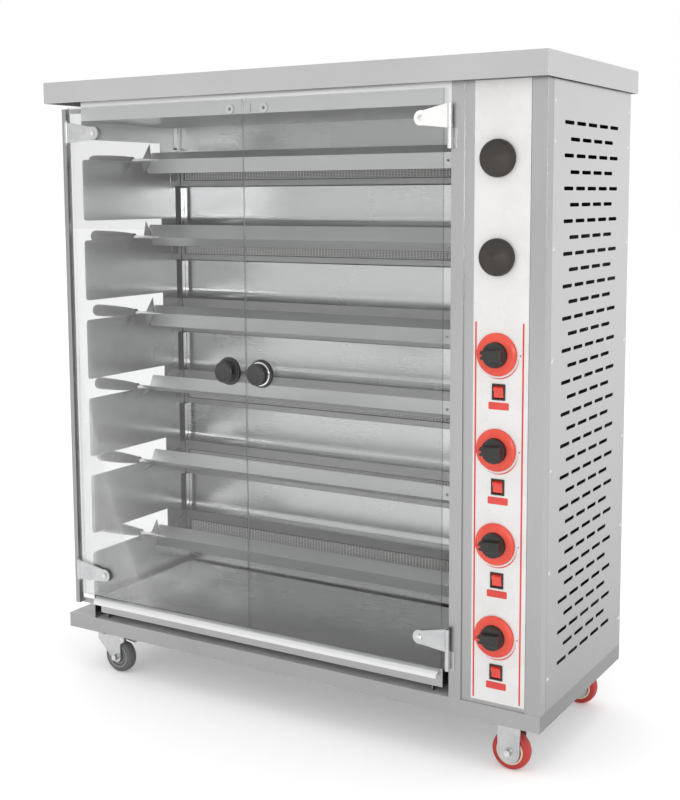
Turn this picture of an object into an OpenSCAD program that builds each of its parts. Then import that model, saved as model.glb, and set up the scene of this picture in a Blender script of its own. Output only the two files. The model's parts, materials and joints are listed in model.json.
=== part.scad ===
// Gas chicken rotisserie on casters: six spits in a glazed chamber, six burners
// behind them, and a control column on the right. Millimetres, front facing -Y.

/* [Chamber] */
// Number of spits, burners and gas dials
levels = 6; // [4:1:7]
// Clear width between the two chamber walls
chamber_w = 888; // [800:4:1000]
// Depth of the base frame, front to back
base_d = 440; // [430:5:520]
// Height from one spit to the next
spit_pitch = 175; // [165:1:200]
// Height of the lowest wall slot over the deck
floor_room = 152; // [145:1:190]
// Height from the top slot's lower edge to the chamber ceiling
head_room = 82; // [70:1:140]
// Depth of the room behind the burners' front
service_d = 105; // [90:5:115]
// Thickness of the cabinet sheet
sheet = 1.5; // [1:0.1:2]

/* [Base and cover] */
// Height of the base frame's skirt
base_h = 32; // [26:1:50]
// Width of the deck left of the chamber
wing_w = 77; // [60:1:100]
// Width of the bottom flange of the base frame
base_flange = 96; // [90:1:120]
// Height of the cover's skirt
skirt_h = 45; // [30:1:70]
// Overhang of the cover at each side
cover_side = 9; // [5:1:20]
// Overhang of the cover at the front
cover_front = 24; // [16:1:32]
// Overhang of the cover at the rear
cover_rear = 18; // [5:1:25]
// Height of the header rail between ceiling and cover
header_h = 39; // [30:1:60]
// Depth of the header rail's upper fold
header_fold = 20; // [12:1:30]

/* [Left wall slots] */
// Height of a slot for a spit
slot_h = 43; // [36:1:60]
// Depth of a slot from the front edge
slot_d = 264; // [230:1:290]
// Radius of the corners at the slot mouths
slot_r = 8; // [4:1:12]
// Distance of the shadow gap's front edge from the burners' front
gap_front = 18; // [12:1:22]
// Depth of the channel behind the shadow gap
channel_out = 12; // [8:1:20]
// Reach of a burner's end flange along the wall
ear_d = 36; // [24:1:40]

/* [Spits] */
// Distance of the spits from the front plane
spit_y = 178; // [165:1:190]
// Leg width of the angle bar
bar_leg = 35; // [26:1:40]
// Thickness of the angle bar
bar_t = 2; // [1.5:0.1:3]
// Diameter of the round neck
neck_d = 8; // [7:0.5:12]
// Length of the grip
grip_len = 126; // [100:1:150]
// Diameter of the grip at its outer end
grip_d = 28; // [24:1:34]
// Diameter of the grip at the ferrule
grip_neck_d = 17; // [17:0.5:20]
// Length of the ferrule
ferrule_len = 12; // [8:1:20]
// Depth of the neck's seat in the grip
grip_bore = 60; // [40:1:80]
// Gap between the left wall and a grip
grip_gap = 10; // [6:1:16]
// Gap between the left wall and the end of a bar
bar_gap = 22; // [14:1:40]
// Length of the bar's tapered end
bar_point = 2; // [1:1:20]
// Reach of the stop plate's two tips from the axis
stop_h = 37; // [33:1:45]
// Width of the stop plate along the bar
stop_w = 26; // [20:1:32]
// Distance of the stop plate's middle from the bar's left end
stop_in = 8; // [5:1:12]
// Distance of the hole from the bar's right end
hole_in = 70; // [45:1:120]
// Outer diameter of the drive socket
socket_d = 26; // [22:1:32]
// Depth of the drive socket
socket_len = 24; // [16:1:34]
// Side of the square tang in the socket
tang = 10; // [8:0.5:12]

/* [Burners] */
// Height of the lowest gauze over the deck
burner_room = 108; // [100:1:130]
// Height of a gauze
gauze_h = 48; // [36:1:60]
// Height of the flange over a gauze
flange_top = 21; // [12:1:30]
// Height of the flange under a gauze
flange_low = 12; // [8:1:20]
// Depth of a burner housing
burner_d = 60; // [50:1:70]
// Gap between the left wall and the burner's end
burner_left = 3; // [2:0.5:20]
// Gap between the right wall and the burner's end
burner_right = 8; // [5:1:20]
// Depth of the burner's tile pocket
pocket_d = 14; // [10:1:20]
// Length of one ceramic tile
tile_w = 120; // [90:5:160]

/* [Tray] */
// Height of the drip tray
tray_h = 36; // [26:1:42]
// Height of the runners under the tray
runner_h = 16; // [10:1:24]
// Sheet of the tray
tray_t = 1.2; // [1:0.1:2]
// Gap between the left wall and the tray
tray_left = 18; // [10:1:30]
// Gap between the right wall and the tray
tray_right = 13; // [3:1:20]
// Reach of the tray's lip in front of its face
lip_reach = 10; // [6:1:14]
// Drop of the lip's edge under the tray's rim
lip_drop = 9; // [5:1:20]

/* [Control column] */
// Width of the control column
column_w = 185; // [175:1:230]
// Width of the door post
post_w = 25; // [18:1:35]
// Width of the corner post
corner_w = 30; // [20:1:40]
// Depth of the corner post's side
corner_d = 26; // [16:1:40]
// Setback of the sheet between the two posts
recess = 3; // [2.5:0.5:6]
// Gap between the control plate and the corner post
plate_right = 1; // [0.5:0.5:6]
// Distance of the control plate from the post's fold
plate_left = 21; // [14:1:24]
// Thickness of the control plate
plate_t = 2; // [1:0.5:2.5]
// Gap under the control plate
plate_gap = 9; // [3:1:20]
// Diameter of a dial's skirt
dial_d = 80; // [64:1:90]
// Diameter of a dial's body
dial_body_d = 50; // [44:1:56]
// Reach of a dial in front of the plate
dial_reach = 38; // [30:1:46]
// Diameter of the two plain dials
plain_dial_d = 68; // [56:1:76]
// Diameter of a valve stem
stem_d = 8; // [6:0.5:10]
// Height of a dial's axis over the lower edge of its gauze
dial_rise = 28; // [24:1:34]
// Height of a dial's axis over its switch
switch_drop = 68; // [60:1:80]
// Outer width of a switch bezel
bezel_w = 26; // [22:1:32]
// Outer height of a switch bezel
bezel_h = 30; // [28:1:36]
// Number of levels without a switch, counted from the top
plain_levels = 2; // [1:1:3]

/* [Side grille] */
// Length of a side slot
vent_len = 47; // [35:1:50]
// Height of a side slot
vent_h = 7; // [5:0.5:9]
// Distance from one slot to the next
vent_step = 60; // [58:1:70]
// Height from one row of slots to the next
vent_row = 29.4; // [24:0.2:40]
// Number of rows
vent_rows = 35; // [20:1:36]
// Slots in a long row
vent_count = 5; // [3:1:5]

/* [Doors] */
// Thickness of the glass
glass_t = 5; // [4:0.5:8]
// Gap between the cabinet's front and the glass
glass_gap = 4; // [3:0.5:6]
// Gap from the deck to the glass
glass_low = 56; // [52:1:70]
// Gap from the glass to the cover's skirt
glass_top_gap = 10; // [6:1:20]
// Gap between the glass and the posts at each side
glass_side = 12; // [11:1:16]
// Gap between the two doors
door_gap = 1.5; // [1:0.5:4]
// Distance of that gap from the middle of the two doors
seam_off = 10; // [-20:1:20]
// Diameter of the hinge barrels
barrel_d = 9; // [8:0.5:10]
// Diameter of the hinge pins
pin_d = 5; // [4:0.5:6]
// Height of one hinge knuckle
knuckle_h = 44; // [30:1:50]
// Height of the right hinges' fixed knuckles
fixed_knuckle_h = 37; // [26:1:44]
// Distance from the left hinges' pins to their plates' screws
left_strap = 77; // [56:1:90]
// Distance from the right hinges' pins to their plates' screws
right_strap = 58; // [40:1:80]
// Thickness of the hinge plates
strap_t = 2; // [1.5:0.5:3]
// Radius of a hinge plate's tip
strap_r = 14; // [10:1:18]
// Height of the upper hinges under the glass edge
hinge_drop = 27; // [10:1:60]
// Reach of the lower hinges under the glass edge
hinge_foot = 8; // [2:1:14]
// Height of the left hinges under the right ones
left_hinge_low = 4; // [0:1:20]
// Distance of the left hinges' pins from the chamber wall
left_pin_out = 35; // [30:1:40]
// Width of the hinge post at the left
hinge_post_w = 11; // [8:1:14]
// Depth of the hinge post
hinge_post_d = 13; // [10:1:20]
// Height of the door knobs over the lower glass edge
door_knob_z = 536; // [300:1:800]
// Distance of the door knobs from the door's free edge
door_knob_in = 39; // [34:1:70]
// Diameter of the door knob's flange
knob_flange_d = 58; // [50:1:64]
// Diameter of the door knob's cap
knob_cap_d = 45; // [38:1:50]
// Reach of the door knob in front of the glass
knob_reach = 25; // [18:1:30]
// Half the distance between the two catches
catch_off = 41; // [20:1:60]
// Distance of the catches' middle from the gap between the doors
catch_shift = 6; // [-10:1:10]
// Height of the catches over the ceiling panel
catch_up = 10; // [9:1:24]
// Diameter of a door catch
catch_d = 18; // [12:1:24]

/* [Casters] */
// Height of the casters
caster_h = 97; // [92:1:110]
// Diameter of a wheel
wheel_d = 75; // [60:1:80]
// Width of a wheel
wheel_w = 28; // [20:1:32]
// Diameter of a wheel's axle
axle_d = 8; // [6:0.5:10]
// Trail of the swivel casters
trail = 26; // [18:1:30]
// Thickness of the fork legs
fork_t = 3; // [2:0.5:4]
// Radius of a fork leg's foot
fork_foot = 12; // [10:0.5:16]
// Height of a fork leg's straight edge under the crown
fork_side = 17; // [10:1:22]
// Gap between a wheel's hub and a fork leg
hub_gap = 0.4; // [0.3:0.1:1]
// Distance of the casters from the front and rear edges
caster_in = 40; // [38:1:50]
// Distance of the swivel axes from the left edge
swivel_in = 90; // [70:1:120]
// Distance of the rigid casters from the right edge
rigid_in = 71; // [56:1:100]
// Thickness of the caster plates
caster_plate_t = 4; // [3:0.5:6]
// Length of the caster plates
caster_plate_l = 76; // [60:1:90]
// Width of the caster plates
caster_plate_w = 60; // [50:1:70]
// Width of the rigid casters' legs
rigid_leg_w = 46; // [36:1:56]

/* [Gas and drive] */
// Diameter of the gas manifold
manifold_d = 22; // [18:1:28]
// Diameter of the burner pipes
pipe_d = 10; // [8:0.5:12]
// Length of a valve body
valve_len = 42; // [34:1:50]
// Diameter of a valve body
valve_d = 26; // [22:1:30]
// Reach of the gas inlet behind the back panel
inlet_reach = 30; // [20:1:40]
// Outer diameter of the gas inlet's nipple
inlet_d = 21; // [16:0.5:26]
// Thickness of the collar on the gas inlet
collar_t = 5; // [3:0.5:8]
// Distance of the vents at the top of the back
rear_vent_step = 80; // [60:5:90]
// Side of a gear motor
motor_w = 60; // [50:1:64]
// Length of a gear motor
motor_len = 60; // [50:1:62]

/* [Hidden] */
// Clearance between pieces that slide or lie on each other
slip = 0.3;
// Radial clearance of a running fit
run_fit = 0.05;
tiny = 0.01;
$fn = 48;

// How far each spit is turned at rest, lowest first
spit_turn = [-14, 109, 112, -18, 12, -18, 15];

// Heights
deck_z = caster_h + base_h;
slot_z0 = deck_z + floor_room;
ceiling_z = slot_z0 + (levels - 1) * spit_pitch + head_room;
skirt_z = ceiling_z + header_h;
top_z = skirt_z + skirt_h;
roof_z = top_z - sheet;
neck_r = neck_d / 2;
notch_depth = 2;
fold_off = neck_r;
spit_z0 = slot_z0 - notch_depth + neck_r + run_fit;
gauze_z0 = deck_z + burner_room;
dial_z0 = gauze_z0 + dial_rise;

// Widths and depths; the origin lies under the middle of the whole object
base_w = wing_w + chamber_w + column_w;
grip_out = sheet + grip_gap + grip_len - wing_w;
left_reach = max(grip_out, cover_side);
base_x = -(base_w + cover_side - left_reach) / 2;
wall_x = base_x + wing_w;
post_x = wall_x + chamber_w;
right_x = base_x + base_w;
front_reach = max(dial_reach - plate_proud(), cover_front, glass_gap + glass_t + knob_reach);
rear_reach = max(inlet_reach, cover_rear);
front_y = -(base_d + rear_reach - front_reach) / 2;
rear_y = front_y + base_d;
back_t = 1.2;
chamber_d = base_d - service_d;
liner_y = front_y + chamber_d;
axis_y = front_y + spit_y;
panel_y = front_y + corner_d;
plate_y = front_y + recess - plate_t;
plate_w = column_w - post_w - corner_w - plate_left - plate_right;
dial_off = 7;
dial_x = post_x + post_w + plate_left + plate_w / 2 - dial_off;

// Doors
glass_y = front_y - glass_gap - glass_t;
glass_z0 = deck_z + glass_low;
glass_z1 = skirt_z - glass_top_gap;
hinge_y = glass_y;
left_pin_x = wall_x - sheet - left_pin_out;
hinge_post_x = left_pin_x - barrel_d / 2 - 1 - hinge_post_w;
right_pin_x = post_x + 1;
left_glass_x = left_pin_x + barrel_d / 2 + 1;
right_glass_x = post_x - glass_side;
seam_x = (left_glass_x + right_glass_x) / 2 + seam_off;
right_hinge_z = [glass_z0 - hinge_foot + knuckle_h, glass_z1 - hinge_drop - knuckle_h];
left_hinge_z = [right_hinge_z[0] - left_hinge_low, right_hinge_z[1] - left_hinge_low];

// Casters
wheel_r = wheel_d / 2;
left_caster_x = base_x + swivel_in;
right_caster_x = right_x - rigid_in;
caster_y = [front_y + caster_in, rear_y - caster_in];
swivel_gap = 3;
inlet_relief = 1.5;

function plate_proud() = recess - plate_t;
function spit_z(k) = spit_z0 + k * spit_pitch;
function slot_z(k) = slot_z0 + k * spit_pitch;
function gauze_z(k) = gauze_z0 + k * spit_pitch;
function dial_z(k) = dial_z0 + k * spit_pitch;
function switch_z(k) = dial_z(k) - switch_drop;

// Helpers: a profile drawn as (Y, Z) and pushed along X, or as (X, Z) along Y
module along_x(x, len) {
    translate([x, 0, 0]) rotate([90, 0, 90]) linear_extrude(len) children();
}
module along_y(y, len) {
    translate([0, y + len, 0]) rotate([90, 0, 0]) linear_extrude(len) children();
}
module block(low, high) {
    translate(low) cube(high - low);
}
// A round bar from a point along X or along Y
module rod_x(x, y, z, len, d) {
    translate([x, y, z]) rotate([0, 90, 0]) cylinder(h = len, d = d);
}
module rod_y(x, y, z, len, d) {
    translate([x, y, z]) rotate([-90, 0, 0]) cylinder(h = len, d = d);
}
// What a rounded corner takes away from a square one
module corner_waste(r) {
    difference() {
        translate([-tiny, -tiny]) square(r + tiny);
        translate([r, r]) circle(r);
    }
}
module rounded_rect(low, high, r) {
    difference() {
        translate(low) square(high - low);
        translate(low) corner_waste(r);
        translate([high[0], low[1]]) mirror([1, 0]) corner_waste(r);
        translate([low[0], high[1]]) mirror([0, 1]) corner_waste(r);
        translate(high) rotate(180) corner_waste(r);
    }
}
// A slot with round ends, centred on the origin
module obround(len, h) {
    square([len - h, h], center = true);
    for (side = [-1, 1]) translate([side * (len - h) / 2, 0]) circle(d = h);
}

// Folded pan with a bottom flange for the casters and two runners for the tray
module base_frame() {
    low = [base_x, front_y, caster_h];
    high = [right_x, rear_y, deck_z];
    color("silver") {
        difference() {
            block(low, high);
            block(low + [sheet, sheet, sheet], high - [sheet, sheet, sheet]);
            block([low[0] + base_flange, low[1] + base_flange, low[2] - 1],
                [high[0] - base_flange, high[1] - base_flange, low[2] + sheet + 1]);
        }
        for (x = [wall_x + tray_left + 8, post_x - tray_right - 28])
            translate([0, 0, deck_z]) difference() {
                block([x, front_y + 12, 0], [x + 20, front_y + chamber_d - 12, runner_h]);
                block([x + sheet, front_y, -1], [x + 21, front_y + chamber_d, runner_h - sheet]);
            }
    }
}

// Lid with a skirt all round, open below
module top_cover() {
    low = [base_x - cover_side, front_y - cover_front, skirt_z];
    high = [right_x + cover_side, rear_y + cover_rear, top_z];
    color("silver") difference() {
        block(low, high);
        block(low + [sheet, sheet, -1], high - [sheet, sheet, sheet]);
    }
}

// One sheet with six slots that open to the front, like a comb. Beside the reflectors
// it has windows onto a channel, and beside each burner an end flange
module left_wall() {
    gap_y = liner_y - gap_front;
    gap_d = gap_front + reflector_back;
    color("silver") {
        along_x(wall_x - sheet, sheet) difference() {
            translate([front_y, deck_z]) square([base_d - back_t, roof_z - deck_z]);
            translate([front_y - 1, ceiling_z - tiny]) square([1 + sheet, roof_z]);
            for (k = [0:levels - 1]) translate([front_y, slot_z(k)]) {
                translate([-1, 0]) square([slot_d + 1, slot_h]);
                translate([0, slot_h]) corner_waste(slot_r);
                mirror([0, 1]) corner_waste(slot_r);
                translate([spit_y, neck_r + run_fit - notch_depth]) circle(neck_r + run_fit);
            }
            for (k = [0:levels - 2]) translate([gap_y, reflector_z(k)])
                square([gap_d, spit_pitch - gauze_h - flange_top - flange_low]);
        }
        difference() {
            block([wall_x - sheet - channel_out, gap_y - sheet, deck_z],
                [wall_x - sheet + tiny, gap_y + gap_d + sheet, ceiling_z]);
            block([wall_x - channel_out, gap_y, deck_z + sheet],
                [wall_x, gap_y + gap_d, ceiling_z - sheet]);
        }
        for (k = [0:levels - 1]) along_x(wall_x - tiny, sheet) polygon([
            [liner_y, gauze_z(k) - flange_low], [liner_y, reflector_z(k)],
            [liner_y - ear_d, gauze_z(k) + gauze_h + 2], [liner_y - ear_d, gauze_z(k) - flange_low]]);
    }
}
reflector_back = 12;
function reflector_z(k) = gauze_z(k) + gauze_h + flange_top;

// Divider between the chamber and the control column, with a hole for each drive
module right_wall() {
    y0 = front_y + sheet;
    color("silver") difference() {
        block([post_x, y0, deck_z], [post_x + sheet, rear_y - back_t, roof_z]);
        for (k = [0:levels - 1]) {
            rod_x(post_x - 1, axis_y, spit_z(k), sheet + 2, boss_d());
            rod_x(post_x - 1, pipe_y(), pipe_z(k), sheet + 2, pipe_d);
        }
    }
}
function boss_d() = neck_d + 12;
function pipe_y() = liner_y + burner_d / 2 + 8;
function pipe_z(k) = dial_z(k);

// Rear skin with vents behind the burners' column and over the control column
module back_panel() {
    vent_x = post_x + column_w / 2;
    color("silver") difference() {
        block([base_x + wing_w - sheet, rear_y - back_t, deck_z], [right_x, rear_y, roof_z]);
        for (row = [0:7], side = [-1, 1])
            translate([vent_x + side * 35, 0, ceiling_z - 60 - row * 20])
                along_y(rear_y - back_t - 1, back_t + 2) obround(vent_len, vent_h);
        for (row = [0:1], column = [-4:4])
            translate([wall_x + chamber_w / 2 + column * rear_vent_step, 0, skirt_z - 26 + row * 18])
                along_y(rear_y - back_t - 1, back_t + 2) obround(vent_len, vent_h);
        rod_y(inlet_x(), rear_y - back_t - 1, inlet_z(), back_t + 2, manifold_d);
    }
}
function inlet_x() = dial_x;
function inlet_z() = deck_z + 50;

// Ceiling of the chamber and the upper rear sheet, folded from one piece
module ceiling_panel() {
    top_burner = gauze_z(levels - 1) + gauze_h + flange_top;
    color("gray") along_x(wall_x, chamber_w) polygon([
        [front_y + sheet, ceiling_z], [front_y + sheet, ceiling_z + sheet],
        [liner_y + sheet, ceiling_z + sheet], [liner_y + sheet, top_burner],
        [liner_y, top_burner], [liner_y, ceiling_z]]);
}

// Rail over the doors, folded back along its lower edge
module header_rail() {
    color("silver") {
        block([wall_x - sheet, front_y, ceiling_z], [post_x, front_y + sheet, roof_z]);
        block([wall_x, front_y + sheet, roof_z - sheet], [post_x, front_y + header_fold, roof_z]);
    }
}

// Door post, the recessed strip and its inner fold, one sheet bent four times
module column_front() {
    fold_x = post_x + post_w;
    end_x = right_x - corner_w;
    back_y = front_y + recess + sheet;
    color("silver") difference() {
        translate([0, 0, deck_z]) linear_extrude(roof_z - deck_z) polygon([
            [post_x, front_y], [fold_x, front_y], [fold_x, front_y + recess],
            [end_x, front_y + recess], [end_x, back_y], [fold_x - sheet, back_y],
            [fold_x - sheet, front_y + sheet], [post_x, front_y + sheet]]);
        for (k = [0:levels - 1])
            rod_y(dial_x, front_y, dial_z(k), 10, stem_d + 6);
        for (k = [0:levels - 1 - plain_levels])
            switch_hole(k, front_y, 10);
    }
}
module switch_hole(k, y, len) {
    block([switch_x() - bezel_w / 2 + 2, y, switch_z(k) - bezel_h / 2 + 2],
        [switch_x() + bezel_w / 2 - 2, y + len, switch_z(k) + bezel_h / 2 - 2]);
}
function switch_x() = dial_x + 4;

// Corner post: front face, side face and a short return
module corner_post() {
    x0 = right_x - corner_w;
    color("silver") translate([0, 0, deck_z]) linear_extrude(roof_z - deck_z) polygon([
        [x0, front_y], [right_x, front_y], [right_x, panel_y], [right_x - sheet, panel_y],
        [right_x - sheet, front_y + sheet], [x0 + sheet, front_y + sheet],
        [x0 + sheet, front_y + recess + sheet + 8], [x0, front_y + recess + sheet + 8]]);
}

// Right side with the staggered rows of cooling slots
module side_panel() {
    mid_y = (panel_y + rear_y) / 2 - 10;
    top_row = ceiling_z - 34;
    color("silver") difference() {
        block([right_x - sheet, panel_y, deck_z], [right_x, rear_y - back_t, roof_z]);
        for (row = [0:vent_rows - 1]) {
            count = vent_count - row % 2;
            for (i = [0:count - 1])
                translate([0, mid_y + (i - (count - 1) / 2) * vent_step, top_row - row * vent_row])
                    along_x(right_x - sheet - 1, sheet + 2) obround(vent_len, vent_h);
        }
    }
}

// White plate on the recessed strip, pierced for the stems and switches
module control_plate() {
    x0 = post_x + post_w + plate_left;
    color("white") difference() {
        block([x0, plate_y, deck_z + plate_gap], [x0 + plate_w, plate_y + plate_t, skirt_z]);
        for (k = [0:levels - 1])
            rod_y(dial_x, plate_y - 1, dial_z(k), plate_t + 2, stem_d + 4);
        for (k = [0:levels - 1 - plain_levels])
            switch_hole(k, plate_y - 1, plate_t + 2);
    }
}

// Smooth sheets between the burners: flat, then curved forward at the foot
module reflector_panels() {
    back = reflector_back;
    turn_r = 30;
    sweep = acos(1 - back / turn_r);
    x0 = wall_x + burner_left;
    x1 = post_x - burner_right + 3;
    color("silver") {
        for (k = [0:levels - 2]) {
            z0 = reflector_z(k);
            z1 = gauze_z(k + 1) - flange_low - 3;
            outer = [for (a = [0:6]) [liner_y + back - turn_r * (1 - cos(sweep * a / 6)),
                z0 + turn_r * (sin(sweep) - sin(sweep * a / 6))]];
            inner = [for (a = [6:-1:0]) [outer[a][0] + sheet, outer[a][1]]];
            intersection() {
                along_x(x0, x1 - x0) polygon(concat([[liner_y + back, z1]], outer, inner,
                    [[liner_y + back + sheet, z1]]));
                along_y(liner_y - 1, back + sheet + 2) difference() {
                    translate([x0, z0]) square([x1 - x0, z1 - z0]);
                    translate([x0, z0]) corner_waste(16);
                    translate([x1, z0]) mirror([1, 0]) corner_waste(16);
                }
            }
        }
        block([wall_x, liner_y + 3, deck_z], [post_x, liner_y + 3 + sheet,
            gauze_z(0) - flange_low - 3]);
    }
}

// Trough with a flange above and below, its tiles behind the gauze
module burner_housings() {
    x0 = wall_x + burner_left;
    x1 = post_x - burner_right;
    tiles = floor((x1 - x0 - 16) / tile_w);
    for (k = [0:levels - 1]) {
        z0 = gauze_z(k);
        z1 = z0 + gauze_h;
        color("gray") {
            difference() {
                along_x(x0, x1 - x0) polygon([
                    [liner_y, z0 - flange_low], [liner_y + sheet, z0 - flange_low],
                    [liner_y + sheet, z0 - 4], [liner_y + 20, z0 - 4],
                    [liner_y + burner_d, z0 + 8], [liner_y + burner_d, z1 - 8],
                    [liner_y + 20, z1 + 4], [liner_y + sheet, z1 + 4],
                    [liner_y + sheet, z1 + flange_top], [liner_y, z1 + flange_top]]);
                block([x0 + 8, liner_y - 1, z0], [x1 - 8, liner_y + pocket_d, z1]);
                block([x0 + 12, liner_y + pocket_d - 1, z0 + 10],
                    [x1 - 12, liner_y + burner_d - 2, z1 - 10]);
            }
            block([wall_x, liner_y + 30, z0 + 10], [x0, liner_y + 30 + sheet, z1 - 10]);
            block([x1, liner_y + 30, z0 + 10], [post_x, liner_y + 30 + sheet, z1 - 10]);
        }
        color("linen") for (i = [0:tiles - 1])
            translate([(x0 + x1) / 2 + (i - tiles / 2) * tile_w, 0, 0])
                block([0.5, liner_y + 5, z0 + 1], [tile_w - 0.5, liner_y + pocket_d, z1 - 1]);
    }
}

// Wire gauze in front of the tiles, with its frame pressed around it
module burner_gauzes() {
    x0 = wall_x + burner_left + 8;
    x1 = post_x - burner_right - 8;
    color("dimgray") for (k = [0:levels - 1]) {
        z0 = gauze_z(k);
        z1 = z0 + gauze_h;
        difference() {
            block([x0, liner_y + 0.5, z0], [x1, liner_y + 4, z1]);
            block([x0 + 3, liner_y, z0 + 3], [x1 - 3, liner_y + 1.5, z1 - 3]);
            block([x0 + 3, liner_y + 2.5, z0 + 3], [x1 - 3, liner_y + 5, z1 - 3]);
        }
    }
}

// Supply pipe up the column, its nipple at the rear, and a pipe to each burner
module gas_manifold() {
    y = manifold_y();
    r = pipe_d / 2;
    top = dial_z(levels - 1) + 30;
    color("goldenrod") {
        translate([dial_x, y, inlet_z()]) cylinder(h = top - inlet_z(), d = manifold_d);
        translate([dial_x, y, inlet_z()]) sphere(d = manifold_d);
        rod_y(dial_x, y, inlet_z(), rear_y + collar_t - y, manifold_d);
        rod_y(dial_x, rear_y + slip, inlet_z(), collar_t - slip, manifold_d + 12);
        rod_y(dial_x, rear_y + collar_t, inlet_z(), 2 * inlet_relief, inlet_d - 3);
        rod_y(dial_x, rear_y + collar_t + inlet_relief, inlet_z(),
            inlet_reach - collar_t - inlet_relief, inlet_d);
        for (k = [0:levels - 1]) {
            rod_y(dial_x - valve_d / 2 - 8, valve_y() + valve_len / 2, pipe_z(k),
                pipe_y() - valve_y() - valve_len / 2, pipe_d);
            translate([dial_x - valve_d / 2 - 8, pipe_y(), pipe_z(k)]) sphere(r);
            rod_x(post_x - burner_right, pipe_y(), pipe_z(k),
                dial_x - valve_d / 2 - 8 - post_x + burner_right, pipe_d);
            translate([dial_x - valve_d / 2 - 8, valve_y() + valve_len / 2, pipe_z(k)]) sphere(r);
            rod_x(dial_x - valve_d / 2 - 8, valve_y() + valve_len / 2, pipe_z(k), 12, pipe_d);
        }
    }
}
function valve_y() = front_y + recess + sheet + 4;
function manifold_y() = valve_y() + valve_len + manifold_d / 2 - 4;

// Valve bodies on the manifold, each bored for its dial's stem
module gas_valves() {
    color("darkgoldenrod") for (k = [0:levels - 1]) difference() {
        union() {
            rod_y(dial_x, valve_y(), dial_z(k), valve_len, valve_d);
            rod_y(dial_x, valve_y() - 4, dial_z(k), 4, stem_d + 12);
        }
        rod_y(dial_x, valve_y() - 5, dial_z(k), stem_in() + 6, stem_d + 2 * run_fit);
        translate([dial_x, manifold_y(), dial_z(k) - valve_d])
            cylinder(h = 2 * valve_d, d = manifold_d);
        translate([dial_x - valve_d / 2 - 8, valve_y() + valve_len / 2, dial_z(k)])
            rotate([0, 90, 0]) cylinder(h = 12, d = pipe_d);
    }
}
function stem_in() = 20;

// Gear motors on the divider, each with a boss through its hole
module gear_motors() {
    x0 = post_x + sheet;
    bore = neck_d + 2 * run_fit;
    color("dimgray") for (k = [0:levels - 1]) difference() {
        union() {
            block([x0, axis_y - motor_w / 2, spit_z(k) - motor_w / 2],
                [x0 + motor_len * 0.4, axis_y + motor_w / 2, spit_z(k) + motor_w / 2]);
            rod_x(x0 + motor_len * 0.4, axis_y, spit_z(k), motor_len * 0.6, motor_w * 0.8);
            rod_x(post_x, axis_y, spit_z(k), sheet, boss_d());
        }
        rod_x(post_x - 1, axis_y, spit_z(k), shaft_in() + 2, bore);
    }
}
function shaft_in() = 26;

// Slim post outside the left wall, with its two arms and the lugs of the hinge pins
module hinge_post() {
    z0 = glass_z0 - 26;
    z1 = glass_z1 - 2;
    y0 = front_y - glass_gap;
    y1 = y0 + hinge_post_d;
    arm = 10;
    color("silver") {
        block([hinge_post_x, y0, z0], [hinge_post_x + hinge_post_w, y1, z1]);
        for (z = [z0, z1 - arm])
            block([hinge_post_x + hinge_post_w, y1 - 4, z], [wall_x - sheet, y1, z + arm]);
        for (z = left_hinge_z) {
            for (lug = [z - slip - 4, z + knuckle_h + slip])
                pin_lug(left_pin_x, lug, hinge_post_x + hinge_post_w - left_pin_x);
            translate([left_pin_x, hinge_y, z - slip - 4])
                cylinder(h = knuckle_h + 2 * slip + 8, d = pin_d);
        }
    }
}
// A lug round the pin that reaches sideways to what carries it
module pin_lug(x, z, side) {
    translate([x, hinge_y, z]) cylinder(h = 4, d = barrel_d);
    block([min(x, x + side), front_y - glass_gap, z], [max(x, x + side), front_y - glass_gap + 3, z + 4]);
    block([x - 3, hinge_y, z], [x + 3, front_y - glass_gap + 3, z + 4]);
}

// Fixed half of the right hinges: knuckle, pin and the leaf on the door post
module right_hinge_leaves() {
    color("silver") for (z = right_hinge_z) {
        z0 = z - fixed_knuckle_h;
        translate([right_pin_x, hinge_y, z0]) {
            cylinder(h = fixed_knuckle_h - slip, d = barrel_d);
            cylinder(h = fixed_knuckle_h + knuckle_h - 4, d = pin_d);
        }
        block([right_pin_x, front_y - 1.5, z0], [right_pin_x + 11, front_y, z - slip]);
        block([right_pin_x - 1.5, hinge_y, z0], [right_pin_x + 1.5, front_y, z - slip]);
    }
}

// Frames round the rockers
module switch_bezels() {
    color("black") for (k = [0:levels - 1 - plain_levels]) difference() {
        union() {
            translate([0, plate_y - 2, 0]) block([switch_x() - bezel_w / 2, 0, switch_z(k) - bezel_h / 2],
                [switch_x() + bezel_w / 2, 2, switch_z(k) + bezel_h / 2]);
            block([switch_x() - bezel_w / 2 + 2, plate_y - 1, switch_z(k) - bezel_h / 2 + 2],
                [switch_x() + bezel_w / 2 - 2, plate_y + 22, switch_z(k) + bezel_h / 2 - 2]);
        }
        block([switch_x() - rocker_w() / 2 - slip, plate_y - 3, switch_z(k) - rocker_r() - slip],
            [switch_x() + rocker_w() / 2 + slip, plate_y + 19, switch_z(k) + rocker_r() + slip]);
    }
}
function rocker_w() = bezel_w - 7;
function rocker_r() = bezel_h / 2 - 3.2;

// Ring catches on the header that meet the glass
module door_catches() {
    color("white") for (side = [-1, 1]) difference() {
        x = seam_x + catch_shift + side * catch_off;
        rod_y(x, front_y - glass_gap + slip, ceiling_z + catch_up, glass_gap - slip, catch_d);
        rod_y(x, front_y - glass_gap - 1, ceiling_z + catch_up, glass_gap - 1, catch_d * 0.45);
    }
}

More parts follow.
